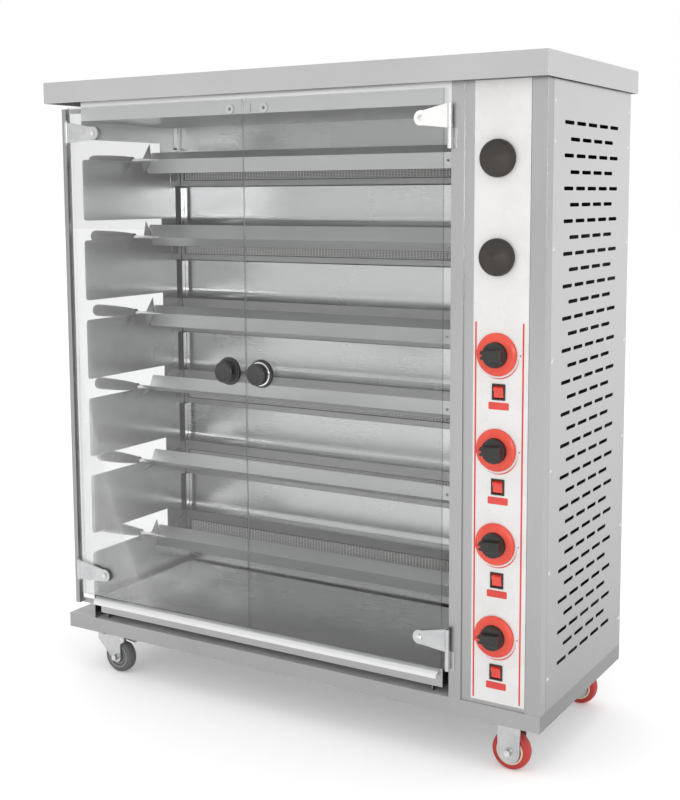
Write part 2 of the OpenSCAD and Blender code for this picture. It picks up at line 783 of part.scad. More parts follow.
// Top plates of the swivel casters with their kingpins
module swivel_plates() {
    color("silver") for (y = caster_y) {
        block([left_caster_x - caster_plate_l / 2, y - caster_plate_w / 2, caster_h - caster_plate_t],
            [left_caster_x + caster_plate_l / 2, y + caster_plate_w / 2, caster_h]);
        translate([left_caster_x, y, caster_h - caster_plate_t - swivel_gap])
            cylinder(h = swivel_gap + 1, d = 40);
        translate([left_caster_x, y, fork_top() - fork_t - 3]) cylinder(h = 12, d = 12);
    }
}
function fork_top() = caster_h - caster_plate_t - swivel_gap - slip;

// Rigid casters' plate and two legs, one pressing each
module rigid_brackets() {
    leg_y = wheel_w / 2 + hub_gap;
    low = caster_h - caster_plate_t;
    color("silver") for (y = caster_y) translate([right_caster_x, y, 0]) {
        block([-caster_plate_l / 2, -caster_plate_w / 2, low],
            [caster_plate_l / 2, caster_plate_w / 2, caster_h]);
        for (side = [-1, 1]) along_y(side * (leg_y + fork_t / 2) - fork_t / 2, fork_t)
            leg_outline([[-rigid_leg_w / 2, low + 1], [rigid_leg_w / 2, low + 1]], 0,
                rigid_leg_w / 2 - 1);
        rod_y(0, -leg_y - fork_t - 4, wheel_r, 2 * (leg_y + fork_t + 4), axle_d);
        for (side = [-1, 1]) rod_y(0, side * (leg_y + fork_t + 2.5) - 2.5, wheel_r, 5, axle_d + 6);
    }
}
// Side of a fork leg: from its top edge down to a round foot at the axle
module leg_outline(top, axle_x, foot_r) {
    translate([axle_x, wheel_r]) circle(foot_r);
    polygon([top[0], top[1], [axle_x + foot_r, wheel_r + 2], [axle_x - foot_r, wheel_r + 2]]);
}

// Tray that slides out to the front, with a sloped lip to pull it by
module drip_tray() {
    x0 = wall_x + tray_left;
    x1 = post_x - tray_right;
    y0 = front_y + slip;
    y1 = front_y + chamber_d - 8;
    z0 = deck_z + runner_h + slip;
    z1 = z0 + tray_h;
    color("silver") {
        difference() {
            block([x0, y0, z0], [x1, y1, z1]);
            block([x0 + tray_t, y0 + tray_t, z0 + tray_t], [x1 - tray_t, y1 - tray_t, z1 + 1]);
        }
        intersection() {
            along_x(x0 - 14, x1 - x0 + 8) polygon([
                [y0, z1 - lip_drop - 3], [y0, z1], [y0 - tray_t, z1],
                [y0 - lip_reach, z1 - lip_drop], [y0 - lip_reach + 1, z1 - lip_drop - 2]]);
            translate([0, y0 + 1, 0]) rotate([90, 0, 0]) linear_extrude(lip_reach + 3) polygon([
                [x0 - 14, z1 + 1], [x1 - 5, z1 + 1], [x1 - 9, z1 - lip_drop - 4],
                [x0 - 11, z1 - lip_drop - 4]]);
        }
    }
}

module door_glass(x0, x1, hinge_side, knob_x) {
    screw_x = hinge_side < 0 ? left_pin_x + left_strap : right_pin_x - right_strap;
    color([0.75, 0.85, 0.85, 0.35]) difference() {
        block([x0, glass_y, glass_z0], [x1, glass_y + glass_t, glass_z1]);
        for (z = hinge_side < 0 ? left_hinge_z : right_hinge_z)
            rod_y(screw_x, glass_y - 1, strap_screw_z(z), glass_t + 2, 6);
        rod_y(knob_x, glass_y - 1, glass_z0 + door_knob_z, glass_t + 2, 6);
    }
}
function strap_screw_z(z) = z + knuckle_h / 2 - 3;
module left_glass() {
    door_glass(left_glass_x, seam_x - door_gap / 2, -1, seam_x - door_gap / 2 - door_knob_in);
}
module right_glass() {
    door_glass(seam_x + door_gap / 2, right_glass_x, 1, seam_x + door_gap / 2 + door_knob_in);
}

// Teardrop plates on the glass, each with its knuckle and its screw
module hinge_plates(pin_x, reach, heights) {
    plate_back = glass_y;
    color("whitesmoke") for (z = heights) {
        side = sign(reach);
        screw_x = pin_x + reach;
        screw_z = strap_screw_z(z);
        wide = pin_x + side * 3;
        difference() {
            union() {
                translate([pin_x, hinge_y, z]) cylinder(h = knuckle_h, d = barrel_d);
                along_y(plate_back - strap_t, strap_t) {
                    translate([screw_x, screw_z]) circle(strap_r);
                    polygon([[wide, z], [wide, z + knuckle_h],
                        [screw_x - side * 4, screw_z + strap_r * 0.95],
                        [screw_x - side * 4, screw_z - strap_r * 0.95]]);
                }
            }
            translate([pin_x, hinge_y, z - 1]) cylinder(h = knuckle_h + 2, d = pin_d + 2 * run_fit);
        }
        rod_y(screw_x, plate_back - strap_t - 2.5, screw_z, 2.5, 11);
        rod_y(screw_x, plate_back, screw_z, glass_t + 1, 6);
        rod_y(screw_x, plate_back + glass_t, screw_z, 2.5, 14);
    }
}
module left_hinge_plates() { hinge_plates(left_pin_x, left_strap, left_hinge_z); }
module right_hinge_plates() { hinge_plates(right_pin_x, -right_strap, right_hinge_z); }

// Flange, ring and cap in front of the glass, washer behind it
module door_knob(x) {
    z = glass_z0 + door_knob_z;
    ring_d = (knob_flange_d + knob_cap_d) / 2;
    translate([x, glass_y, z]) rotate([90, 0, 0]) {
        color("black") rotate_extrude() polygon([[0, 0], [knob_flange_d / 2, 0],
            [knob_flange_d / 2, 3], [knob_flange_d / 2 - 4, 6], [ring_d / 2 + 0.5, 6],
            [ring_d / 2 + 0.5, 8], [knob_cap_d / 2 - 1, 8], [knob_cap_d / 2, 11],
            [knob_cap_d / 2, knob_reach - 3], [knob_cap_d / 2 - 3, knob_reach],
            [0, knob_reach]]);
        color("black") translate([0, 0, -glass_t]) cylinder(h = glass_t, d = 6);
        color("black") translate([0, 0, -glass_t - 2.5]) cylinder(h = 2.5, d = 20);
    }
}
module left_knob() { door_knob(seam_x - door_gap / 2 - door_knob_in); }
module right_knob() { door_knob(seam_x + door_gap / 2 + door_knob_in); }

// Angle bar with a pointed stop plate, its round neck welded into the fold, and the
// drive socket that its tang sits in
module spit(k) {
    x0 = wall_x + bar_gap;
    socket_x = post_x - slip - socket_len;
    x1 = socket_x - 2;
    neck_x = wall_x - sheet - grip_gap - grip_bore;
    leg = bar_leg;
    translate([0, axis_y, spit_z(k)]) rotate([spit_turn[k], 0, 0]) {
        color("silver") difference() {
            union() {
                intersection() {
                    rotate([90, 0, 90]) translate([0, 0, x0]) linear_extrude(x1 - x0)
                        angle_section(leg, bar_t);
                    rotate([90, 0, 0]) translate([0, 0, -leg]) linear_extrude(2 * leg) polygon([
                        [x0, -4], [x0 + bar_point, -leg], [x1, -leg], [x1, leg],
                        [x0 + bar_point, leg], [x0, 4]]);
                }
                rod_x(neck_x, 0, 0, x0 + bar_point + 40 - neck_x, neck_d);
                along_y(-bar_t / 2, bar_t) translate([x0 + stop_in, 0]) polygon([
                    [-stop_w / 2, 0], [0, stop_h], [stop_w / 2, 0], [0, -stop_h]]);
                translate([x1 - 40, -tang / 2, -tang / 2])
                    cube([socket_x + socket_len - 6 - x1 + 40, tang, tang]);
            }
            translate([x1 - hole_in, -fold_off, 0]) rotate([-45, 0, 0])
                translate([0, leg / 2, -1]) cylinder(h = bar_t + 2, d = 6);
        }
        color("gray") {
            difference() {
                rod_x(socket_x, 0, 0, socket_len, socket_d);
                translate([socket_x - 1, -tang / 2, -tang / 2]) cube([socket_len - 5, tang, tang]);
            }
            rod_x(socket_x + socket_len, 0, 0, slip + shaft_in(), neck_d);
        }
    }
}
// Two legs at a right angle; the fold lies at -Y and the axis inside it
module angle_section(leg, t) {
    translate([-fold_off, 0]) for (side = [-45, 45]) rotate(side)
        mirror([0, side > 0 ? 1 : 0]) square([leg, t]);
}
module spit_1() { spit(0); }
module spit_2() { spit(1); }
module spit_3() { spit(2); }
module spit_4() { spit(3); }
module spit_5() { spit(4); }
module spit_6() { spit(5); }

// File handle: swelling grip, narrow throat and a ferrule round the neck
module grip(k) {
    x1 = wall_x - sheet - grip_gap;
    color("dimgray") translate([x1, axis_y, spit_z(k)]) rotate([0, -90, 0]) difference() {
        rotate_extrude() polygon([[0, 0], [grip_neck_d / 2, 0], [grip_neck_d / 2, ferrule_len],
            [grip_neck_d / 2 + 0.6, ferrule_len], [grip_d * 0.40, ferrule_len + 22],
            [grip_d * 0.46, grip_len * 0.5], [grip_d / 2, grip_len - 22],
            [grip_d / 2, grip_len - 9], [grip_d * 0.44, grip_len - 3], [grip_d * 0.3, grip_len],
            [0, grip_len]]);
        translate([0, 0, -1]) cylinder(h = grip_bore + 1, d = neck_d);
    }
}
module grip_1() { grip(0); }
module grip_2() { grip(1); }
module grip_3() { grip(2); }
module grip_4() { grip(3); }
module grip_5() { grip(4); }
module grip_6() { grip(5); }

// Stem of a dial, running in its valve
module dial_stem(front) {
    translate([0, 0, -(valve_y() - plate_y) - stem_in()])
        cylinder(h = front + (valve_y() - plate_y) + stem_in(), d = stem_d);
}
// Red skirt, round body and a bar grip whose nose points to the left
module marked_dial(k) {
    skirt_back = 1;
    skirt_t = 6;
    body_top = 19;
    translate([dial_x, plate_y, dial_z(k)]) rotate([90, 0, 0]) {
        color("tomato") rotate_extrude() polygon([[stem_d / 2, skirt_back], [dial_d / 2, skirt_back],
            [dial_d / 2, skirt_back + 1], [dial_d / 2 - 4, skirt_back + skirt_t],
            [stem_d / 2, skirt_back + skirt_t]]);
        color("black") {
            dial_stem(skirt_back + skirt_t);
            rotate_extrude() polygon([[0, skirt_back + skirt_t],
                [dial_body_d / 2, skirt_back + skirt_t], [dial_body_d / 2 - 1, body_top - 2],
                [dial_body_d / 2 - 3, body_top], [0, body_top]]);
            translate([-4, 0, body_top]) linear_extrude(dial_reach - body_top)
                rounded_rect([-dial_body_d / 2, -10], [dial_body_d / 2, 10], 5);
        }
    }
}
// Plain turned knob with a small crest
module plain_dial(k) {
    r = plain_dial_d / 2;
    translate([dial_x, plate_y, dial_z(k)]) rotate([90, 0, 0]) color("dimgray") {
        dial_stem(2);
        rotate_extrude() polygon([[0, 2], [r, 2], [r, 8], [r - 2, 13], [r - 10, 20],
            [r * 0.3, 25], [3, 27], [0, 27]]);
    }
}
module dial_1() { marked_dial(0); }
module dial_2() { marked_dial(1); }
module dial_3() { marked_dial(2); }
module dial_4() { marked_dial(3); }
module dial_5() { plain_dial(4); }
module dial_6() { plain_dial(5); }

// Rocker: a drum segment with two flats in front, lying on one side
module rocker(k) {
    r = rocker_r();
    lean = 10;
    color("red") translate([switch_x() - rocker_w() / 2, plate_y + 5, switch_z(k)])
        rotate([lean, 0, 0]) rotate([90, 0, 90]) linear_extrude(rocker_w()) intersection() {
            circle(r);
            polygon([[-6.5, 0], [-6.5 - r * tan(lean), r], [r, r], [r, -r],
                [-6.5 - r * tan(lean), -r]]);
        }
}
module rocker_1() { rocker(0); }
module rocker_2() { rocker(1); }
module rocker_3() { rocker(2); }
module rocker_4() { rocker(3); }

// Swivel fork: crown and two raked legs, the axle between them
module fork(y) {
    leg_y = wheel_w / 2 + hub_gap;
    top = fork_top();
    color("silver") translate([left_caster_x, y, 0]) {
        difference() {
            union() {
                translate([0, 0, top - fork_t]) cylinder(h = fork_t, d = 54);
                block([-10, -leg_y - fork_t, top - fork_t], [34, leg_y + fork_t, top]);
                for (side = [-1, 1]) along_y(side * (leg_y + fork_t / 2) - fork_t / 2, fork_t) {
                    translate([trail, wheel_r]) circle(fork_foot);
                    polygon([[-26, top], [-26, top - fork_side],
                        [trail - fork_foot * 0.71, wheel_r - fork_foot * 0.71],
                        [trail + fork_foot, wheel_r], [trail + fork_foot, brake_z() - 13],
                        [brake_x() + 7, brake_z() - 6], [brake_x() + 7, top]]);
                }
            }
            translate([0, 0, top - fork_t - 1]) cylinder(h = fork_t + 2, d = 12 + 2 * run_fit);
            rod_y(brake_x(), -leg_y - fork_t - 1, brake_z(), 2 * (leg_y + fork_t + 1),
                brake_pin + 2 * run_fit);
        }
        rod_y(trail, -leg_y - fork_t - 4, wheel_r, 2 * (leg_y + fork_t + 4), axle_d);
        for (side = [-1, 1]) rod_y(trail, side * (leg_y + fork_t + 2.5) - 2.5, wheel_r, 5, axle_d + 6);
    }
}
module front_fork() { fork(caster_y[0]); }
module rear_fork() { fork(caster_y[1]); }

// Foot lever of the brake, on a pin through the fork's legs
module brake(y) {
    reach = wheel_w / 2 + hub_gap + fork_t + 1;
    color("silver") translate([left_caster_x + brake_x(), y, brake_z()]) {
        rod_y(0, -reach, 0, 2 * reach, brake_pin);
        rotate([0, 8, 0]) block([1, -12, -1.5], [32, 12, 1.5]);
    }
}
brake_pin = 6;
function brake_x() = trail + 16;
function brake_z() = fork_top() - fork_t - 5;
module front_brake() { brake(caster_y[0]); }
module rear_brake() { brake(caster_y[1]); }

// Tyre on a rim with a raised hub, bored for the axle
module wheel(x, y, tyre, rim) {
    half = wheel_w / 2;
    hub_r = axle_d / 2 + run_fit;
    rim_r = wheel_r - 11;
    translate([x, y, wheel_r]) rotate([90, 0, 0]) {
        color(tyre) rotate_extrude() polygon([[rim_r, -half + 3], [wheel_r - 4, -half + 2],
            [wheel_r - 1, -half + 6], [wheel_r, -3], [wheel_r, 3], [wheel_r - 1, half - 6],
            [wheel_r - 4, half - 2], [rim_r, half - 3]]);
        color(rim) rotate_extrude() polygon([[hub_r, -half], [9, -half], [9, -half + 6],
            [rim_r - 3, -half + 6], [rim_r - 2, -half + 2], [rim_r, -half + 2], [rim_r, half - 2],
            [rim_r - 2, half - 2], [rim_r - 3, half - 6], [9, half - 6], [9, half],
            [hub_r, half]]);
    }
}
module wheel_front_left() { wheel(left_caster_x + trail, caster_y[0], "dimgray", "gray"); }
module wheel_rear_left() { wheel(left_caster_x + trail, caster_y[1], "dimgray", "gray"); }
module wheel_front_right() { wheel(right_caster_x, caster_y[0], "firebrick", "wheat"); }
module wheel_rear_right() { wheel(right_caster_x, caster_y[1], "firebrick", "wheat"); }

base_frame();
top_cover();
left_wall();
right_wall();
back_panel();
ceiling_panel();
header_rail();
column_front();
corner_post();
side_panel();
control_plate();
reflector_panels();
burner_housings();
burner_gauzes();
gas_manifold();
gas_valves();
gear_motors();
hinge_post();
right_hinge_leaves();
switch_bezels();
door_catches();
swivel_plates();
rigid_brackets();
drip_tray();
left_glass();
left_hinge_plates();
left_knob();
right_glass();
right_hinge_plates();
right_knob();
spit_1();
spit_2();
spit_3();
spit_4();
spit_5();
spit_6();
grip_1();
grip_2();
grip_3();
grip_4();
grip_5();
grip_6();
dial_1();
dial_2();
dial_3();
dial_4();
dial_5();
dial_6();
rocker_1();
rocker_2();
rocker_3();
rocker_4();
front_fork();
rear_fork();
front_brake();
rear_brake();
wheel_front_left();
wheel_rear_left();
wheel_front_right();
wheel_rear_right();
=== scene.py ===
# %% [markdown]
# # A gas chicken rotisserie, dressed in Blender
#
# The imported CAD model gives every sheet, bar, door and wheel its place. This lesson gives
# them their looks: brushed stainless steel, glass, woven burner gauze, moulded knobs and
# rubber tyres. Each step says what the part is on the real machine, how it could be made
# in Blender, and why one way was picked.

# %% Load the frame
import json
import math
import bpy
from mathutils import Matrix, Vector


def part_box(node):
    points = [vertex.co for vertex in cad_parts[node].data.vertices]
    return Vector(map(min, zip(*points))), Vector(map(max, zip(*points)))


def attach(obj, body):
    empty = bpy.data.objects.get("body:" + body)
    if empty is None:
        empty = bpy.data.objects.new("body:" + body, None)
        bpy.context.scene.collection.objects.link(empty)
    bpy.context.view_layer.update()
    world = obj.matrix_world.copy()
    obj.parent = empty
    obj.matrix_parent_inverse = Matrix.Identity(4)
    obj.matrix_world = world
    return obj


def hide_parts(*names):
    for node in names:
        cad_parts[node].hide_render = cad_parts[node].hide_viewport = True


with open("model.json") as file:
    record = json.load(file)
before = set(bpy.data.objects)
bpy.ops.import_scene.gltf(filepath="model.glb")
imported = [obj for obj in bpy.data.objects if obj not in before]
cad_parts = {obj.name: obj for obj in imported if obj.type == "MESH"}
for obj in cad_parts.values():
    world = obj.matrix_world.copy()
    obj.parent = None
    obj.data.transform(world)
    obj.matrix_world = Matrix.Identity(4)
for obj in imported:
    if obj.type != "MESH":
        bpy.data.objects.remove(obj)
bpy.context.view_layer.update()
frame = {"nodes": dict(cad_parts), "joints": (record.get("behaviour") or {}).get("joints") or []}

# %% [markdown]
# ## The camera
#
# The picture was taken from the right of the machine, a little below the height of its
# lid. The camera's place, lens and tilt were solved from the straight edges of the box,
# so they are plain numbers here. The lens shift is small: the picture's centre lies under
# the middle of the view.

# %% Camera
camera_data = bpy.data.cameras.new("photo_camera")
camera_data.lens = 56.24
camera_data.sensor_width = 36.0
camera_data.shift_y = -0.075
camera = bpy.data.objects.new("photo_camera", camera_data)
camera.location = (1.42466, -2.26946, 1.07473)
camera.rotation_euler = [math.radians(v) for v in (83.4295, 0.2731, 31.2191)]
bpy.context.scene.collection.objects.link(camera)
bpy.context.scene.camera = camera
print("camera", [round(v, 3) for v in camera.location])

# %% [markdown]
# ## Small helpers for modelling
#
# An operator works on everything that is selected, so each helper clears the selection
# first. A piece is made round the origin or in its place, and its transform is applied at
# the end, so that its object stays at the origin and patterns on Object coordinates keep
# still.

# %% Selection and transforms
FOLD_ANGLE = math.radians(40)


def clear_selection():
    if bpy.context.object and bpy.context.object.mode != "OBJECT":
        bpy.ops.object.mode_set(mode="OBJECT")
    bpy.ops.object.select_all(action="DESELECT")


def take(piece):
    """Makes one piece the selected and active one."""
    clear_selection()
    piece.select_set(True)
    bpy.context.view_layer.objects.active = piece


def settle(piece):
    """Moves a piece's place, turn and size into its mesh."""
    take(piece)
    bpy.ops.object.transform_apply(location=True, rotation=True, scale=True)
    return piece


def put(piece, place, turn=(0, 0, 0)):
    piece.rotation_euler = [math.radians(v) for v in turn]
    piece.location = place
    return settle(piece)


def apply_modifier(piece, kind, **settings):
    take(piece)
    modifier = piece.modifiers.new(kind.title(), kind)
    for key, value in settings.items():
        setattr(modifier, key, value)
    bpy.ops.object.modifier_apply(modifier=modifier.name)
    return piece


def round_edges(piece, width, segments=2):
    """Bevels the sharp edges and smooths them. Weighted normals keep big faces flat."""
    apply_modifier(piece, "BEVEL", width=width, segments=segments, limit_method="ANGLE",
                   angle_limit=FOLD_ANGLE, use_clamp_overlap=True)
    take(piece)
    bpy.ops.object.shade_smooth_by_angle(angle=FOLD_ANGLE)
    return apply_modifier(piece, "WEIGHTED_NORMAL", keep_sharp=True, weight=100)


def twin(piece, name, shift=(0, 0, 0)):
    """A copy with its own mesh, moved by shift."""
    take(piece)
    bpy.ops.object.duplicate(linked=False)
    copy = bpy.context.object
    copy.name = name
    copy.location = shift
    return settle(copy)


def reshape_faces(piece, chosen, change):
    """Selects the faces that chosen(face) picks and runs change() on them in edit mode."""
    take(piece)
    bpy.ops.object.mode_set(mode="EDIT")
    bpy.ops.mesh.select_mode(type="FACE")
    bpy.ops.mesh.select_all(action="DESELECT")
    bpy.ops.object.mode_set(mode="OBJECT")
    for face in piece.data.polygons:
        face.select = chosen(face)
    bpy.ops.object.mode_set(mode="EDIT")
    change()
    bpy.ops.object.mode_set(mode="OBJECT")
    return piece


def joined(name, pieces):
    clear_selection()
    for piece in pieces:
        piece.select_set(True)
    bpy.context.view_layer.objects.active = pieces[0]
    bpy.ops.object.join()
    pieces[0].name = name
    return pieces[0]


def wear(piece, body, material, instead_of=()):
    """Gives a piece its finish and the CAD body it rides on."""
    piece.data.materials.clear()
    piece.data.materials.append(material)
    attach(piece, body)
    if instead_of:
        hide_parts(*instead_of)
    return piece


print("helpers ready")

# %% [markdown]
# Two shapes come back all the time. A block is a cube primitive stretched between two
# corners. A turned piece is a disc that is extruded and scaled ring by ring, the way a
# lathe profile is read from the bottom to the top.

# %% Blocks and turned pieces
def block(name, low, high, edge=0.0):
    clear_selection()
    middle = [(a + b) / 2 for a, b in zip(low, high)]
    size = [b - a for a, b in zip(low, high)]
    bpy.ops.mesh.primitive_cube_add(size=1, location=middle)
    piece = bpy.context.object
    piece.name = name
    piece.scale = size
    settle(piece)
    if edge:
        round_edges(piece, edge)
    return piece


def turned(name, rings, sides=48):
    """rings: (height, radius) from the bottom cap to the top cap, along +Z."""
    clear_selection()
    height, radius = rings[0]
    bpy.ops.mesh.primitive_circle_add(vertices=sides, radius=radius, fill_type="NGON",
                                      location=(0, 0, height))
    piece = bpy.context.object
    piece.name = name
    bpy.ops.object.mode_set(mode="EDIT")
    bpy.ops.mesh.select_all(action="SELECT")
    bpy.ops.mesh.flip_normals()
    for next_height, next_radius in rings[1:]:
        rise = next_height - height
        bpy.ops.mesh.extrude_region_move(TRANSFORM_OT_translate={"value": (0, 0, rise)})
        ratio = next_radius / radius
        bpy.ops.transform.resize(value=(ratio, ratio, 1))
        height, radius = next_height, next_radius
    bpy.ops.mesh.select_all(action="SELECT")
    bpy.ops.mesh.normals_make_consistent(inside=False)
    bpy.ops.object.mode_set(mode="OBJECT")
    settle(piece)
    take(piece)
    bpy.ops.object.shade_smooth_by_angle(angle=math.radians(35))
    return piece


print("blocks and turned pieces ready")

# %% [markdown]
# ## Brushed steel
#
# Stainless sheet is ground with a belt, which leaves long parallel scratches. On the real
# surface they blur reflections across the grain. A noise texture that is stretched nearly
# two hundred times along one axis gives such lines. It drives the colour, the roughness
# and a faint bump. A second, large and soft noise stands for wiped and handled areas. Thin
# sheet is never quite flat either, so a third, very long noise bends the reflections a
# little. Upright sheets mirror the darker ground low down, so some of them are painted
# darker towards the floor: a painted reflection. The greys below are set for each part and
# face: beside a little real difference in finish, they stand for how light falls on it,
# painted light and shade.

# %% Material helpers
def new_material(name):
    material = bpy.data.materials.new(name)
    material.use_nodes = True
    nodes = material.node_tree.nodes
    return material, nodes, nodes["Principled BSDF"]


def link(source, socket):
    """Connects an output to an input of the same node tree."""
    socket.id_data.links.new(source, socket)


def fill(node, values):
    """Sets inputs of a node by their names."""
    for name, value in values.items():
        node.inputs[name].default_value = value
    return node


def on_object(nodes):
    return nodes.new("ShaderNodeTexCoord").outputs["Object"]


def pattern(nodes, stretch, detail=3.0, place=(0, 0, 0)):
    """Noise on Object coordinates, stretched by a Mapping node."""
    mapping = fill(nodes.new("ShaderNodeMapping"), {"Scale": stretch, "Location": place})
    noise = fill(nodes.new("ShaderNodeTexNoise"),
                 {"Scale": 1.0, "Detail": detail, "Roughness": 0.55})
    link(on_object(nodes), mapping.inputs["Vector"])
    link(mapping.outputs["Vector"], noise.inputs["Vector"])
    return noise.outputs["Fac"]


def between(nodes, source, low, high, start=0.3, end=0.7):
    """Turns a noise value into a number between low and high."""
    span = fill(nodes.new("ShaderNodeMapRange"),
                {"From Min": start, "From Max": end, "To Min": low, "To Max": high})
    link(source, span.inputs["Value"])
    return span.outputs["Result"]


def blend_colours(nodes, factor, first, second):
    mix = nodes.new("ShaderNodeMix")
    mix.data_type = "RGBA"
    fill(mix, {"A": (*first, 1), "B": (*second, 1)})
    link(factor, mix.inputs["Factor"])
    return mix.outputs["Result"]


def bump(nodes, source, depth, shader, strength=0.5):
    node = fill(nodes.new("ShaderNodeBump"), {"Distance": depth, "Strength": strength})
    link(source, node.inputs["Height"])
    link(node.outputs["Normal"], shader.inputs["Normal"])
    return node


def arithmetic(nodes, operation, *values):
    """A Math node. Each value is a number or the output of another node."""
    node = nodes.new("ShaderNodeMath")
    node.operation = operation
    for socket, value in zip(node.inputs, values):
        if isinstance(value, float):
            socket.default_value = value
        else:
            link(value, socket)
    return node.outputs["Value"]


print("material helpers ready")

# %% Brushed steel
ACROSS_GRAIN, ALONG_GRAIN = 900.0, 5.0


def grey(value):
    return (value, value, value * 1.005)


def brushed_steel(name, dark, light, grain, rough=(0.24, 0.4), waves=0.0, fade=1.0,
                  lined=0.35):
    """dark, light: greys. grain: 0, 1 or 2, the axis that the scratches run along.

    waves: height of the sheet's swell. fade: brightness at the floor, a painted reflection of
    the darker ground. lined: how much the scratches show.
    """
    material, nodes, shader = new_material(name)
    stretch = [ALONG_GRAIN if axis == grain else ACROSS_GRAIN for axis in range(3)]
    lines = pattern(nodes, stretch)
    cloud = pattern(nodes, (2.6, 2.6, 2.6), place=(3.1, 0.7, 1.9))
    share = arithmetic(nodes, "MULTIPLY_ADD", lines, lined, between(nodes, cloud, 0.0, 0.65))
    colour = blend_colours(nodes, share, grey(dark), grey(light))
    # painted reflection: the colour is multiplied darker towards the floor
    if fade < 1:
        split = nodes.new("ShaderNodeSeparateXYZ")
        link(on_object(nodes), split.inputs["Vector"])
        height = between(nodes, split.outputs["Z"], 1.0, 0.0, 0.12, 1.1)
        shade = nodes.new("ShaderNodeMix")
        shade.data_type = "RGBA"
        shade.blend_type = "MULTIPLY"
        shade.inputs["B"].default_value = (fade, fade, fade, 1)
        link(height, shade.inputs["Factor"])
        link(colour, shade.inputs["A"])
        colour = shade.outputs["Result"]
    link(colour, shader.inputs["Base Color"])
    link(between(nodes, share, *rough, 0.2, 0.9), shader.inputs["Roughness"])
    shader.inputs["Metallic"].default_value = 1.0
    fine = bump(nodes, lines, 0.00001, shader, lined * 0.85)
    if waves:
        swell = pattern(nodes, (4.5, 4.5, 4.5), detail=1.0, place=(0.4, 2.2, 5.1))
        broad = bump(nodes, swell, waves, shader, 1.0)
        link(broad.outputs["Normal"], fine.inputs["Normal"])
        link(fine.outputs["Normal"], shader.inputs["Normal"])
    return material


# copies of one stainless in different greys: partly real finish, partly painted light and shade
# for each part and face
steel_cover = brushed_steel("steel_cover", 0.488, 0.572, 0, (0.3, 0.42), 0.0004)
steel_upright = brushed_steel("steel_upright", 0.408, 0.482, 2, waves=0.0004, fade=0.84)
steel_side = brushed_steel("steel_side", 0.551, 0.647, 2, waves=0.0006, fade=0.56)
steel_base = brushed_steel("steel_base", 0.345, 0.43, 0, (0.32, 0.45), 0.0003)
steel_base_side = brushed_steel("steel_base_side", 0.24, 0.3, 1, (0.32, 0.45))
steel_post = brushed_steel("steel_hinge_post", 0.307, 0.392, 2)
steel_header = brushed_steel("steel_header", 0.753, 0.848, 0, waves=0.0004)
steel_inner = brushed_steel("steel_liner", 0.7, 0.859, 0, (0.22, 0.34), 0.0012, lined=0.2)
steel_wall = brushed_steel("steel_inner_wall", 0.31, 0.41, 2, (0.18, 0.32), 0.0015,
                           lined=0.25)
steel_ceiling = brushed_steel("steel_ceiling", 0.551, 0.689, 0, (0.24, 0.38), 0.001,
                              lined=0.15)
steel_tray = brushed_steel("steel_tray", 0.488, 0.615, 0, (0.2, 0.34), 0.0012, lined=0.2)
steel_tray_front = brushed_steel("steel_tray_front", 0.36, 0.445, 0)
# painted highlight: a lighter grey for the tray lip, its hem and the wall channel's flanges
steel_painted_highlight = brushed_steel("steel_lip_painted_highlight", 0.721, 0.806, 0)
steel_bar = brushed_steel("steel_spit", 0.88, 0.95, 0, (0.42, 0.52))
steel_stop = brushed_steel("steel_stop_plate", 0.212, 0.276, 2, (0.42, 0.52))
for material in (steel_cover, steel_side, steel_inner, steel_tray, steel_bar):
    print(material.name, len(material.node_tree.nodes), "nodes")

# %% [markdown]
# ## Zinc, iron and brass
#
# Hinges, caster forks and bolts are zinc plated: a cloudy grey with a faint bluish and
# yellowish bloom. A Voronoi pattern with soft cells stands for the crystals. The burner
# troughs are aluminised sheet that heat has dulled, and the valves are turned brass.

# %% Plated and cast metals
def plated(name, dark, light, rough=(0.28, 0.45), cell=140.0, metallic=1.0):
    material, nodes, shader = new_material(name)
    cells = nodes.new("ShaderNodeTexVoronoi")
    cells.feature = "SMOOTH_F1"
    cells.inputs["Scale"].default_value = cell
    link(on_object(nodes), cells.inputs["Vector"])
    bloom = pattern(nodes, (30, 30, 30))
    share = arithmetic(nodes, "MULTIPLY_ADD", cells.outputs["Distance"], 0.5,
                       between(nodes, bloom, 0.0, 0.6))
    link(blend_colours(nodes, share, dark, light), shader.inputs["Base Color"])
    link(between(nodes, bloom, *rough), shader.inputs["Roughness"])
    shader.inputs["Metallic"].default_value = metallic
    bump(nodes, bloom, 0.0001, shader, 0.25)
    return material


zinc = plated("zinc_plate", (0.46, 0.47, 0.48), (0.64, 0.64, 0.64))
zinc_bright = plated("zinc_bright", (0.62, 0.63, 0.64), (0.8, 0.8, 0.79), (0.2, 0.32))
burner_iron = plated("heated_burner_sheet", (0.45, 0.45, 0.445), (0.58, 0.58, 0.575),
                     (0.4, 0.6))
# painted light: a lighter, matt copy of the deck steel for its strip under the tray
deck_painted_light = plated("deck_strip_painted_light", (0.46, 0.46, 0.46), (0.58, 0.58, 0.58), (0.6, 0.75),
                   60.0, 0.2)
# painted shade: a near-black finish for the wall channel, its groove and foot, and the vent
# baffle
painted_shade_black = plated("near_black_painted_shade", (0.05, 0.05, 0.05), (0.09, 0.09, 0.09), (0.5, 0.7))
brass = plated("turned_brass", (0.5, 0.38, 0.17), (0.72, 0.56, 0.28), (0.25, 0.4))
motor_paint = plated("motor_enamel", (0.1, 0.11, 0.12), (0.15, 0.16, 0.17), (0.5, 0.65),
                     90.0, 0.0)
print("plated metals ready")

# %% [markdown]
# ## Enamel, plastic and rubber
#
# Plain surfaces still have a life of their own. Enamel has orange peel, a moulded knob
# has a fine spark-eroded grain, and rubber is dull with dust in its pores. Each gets a
# small bump and a roughness that wanders a little.

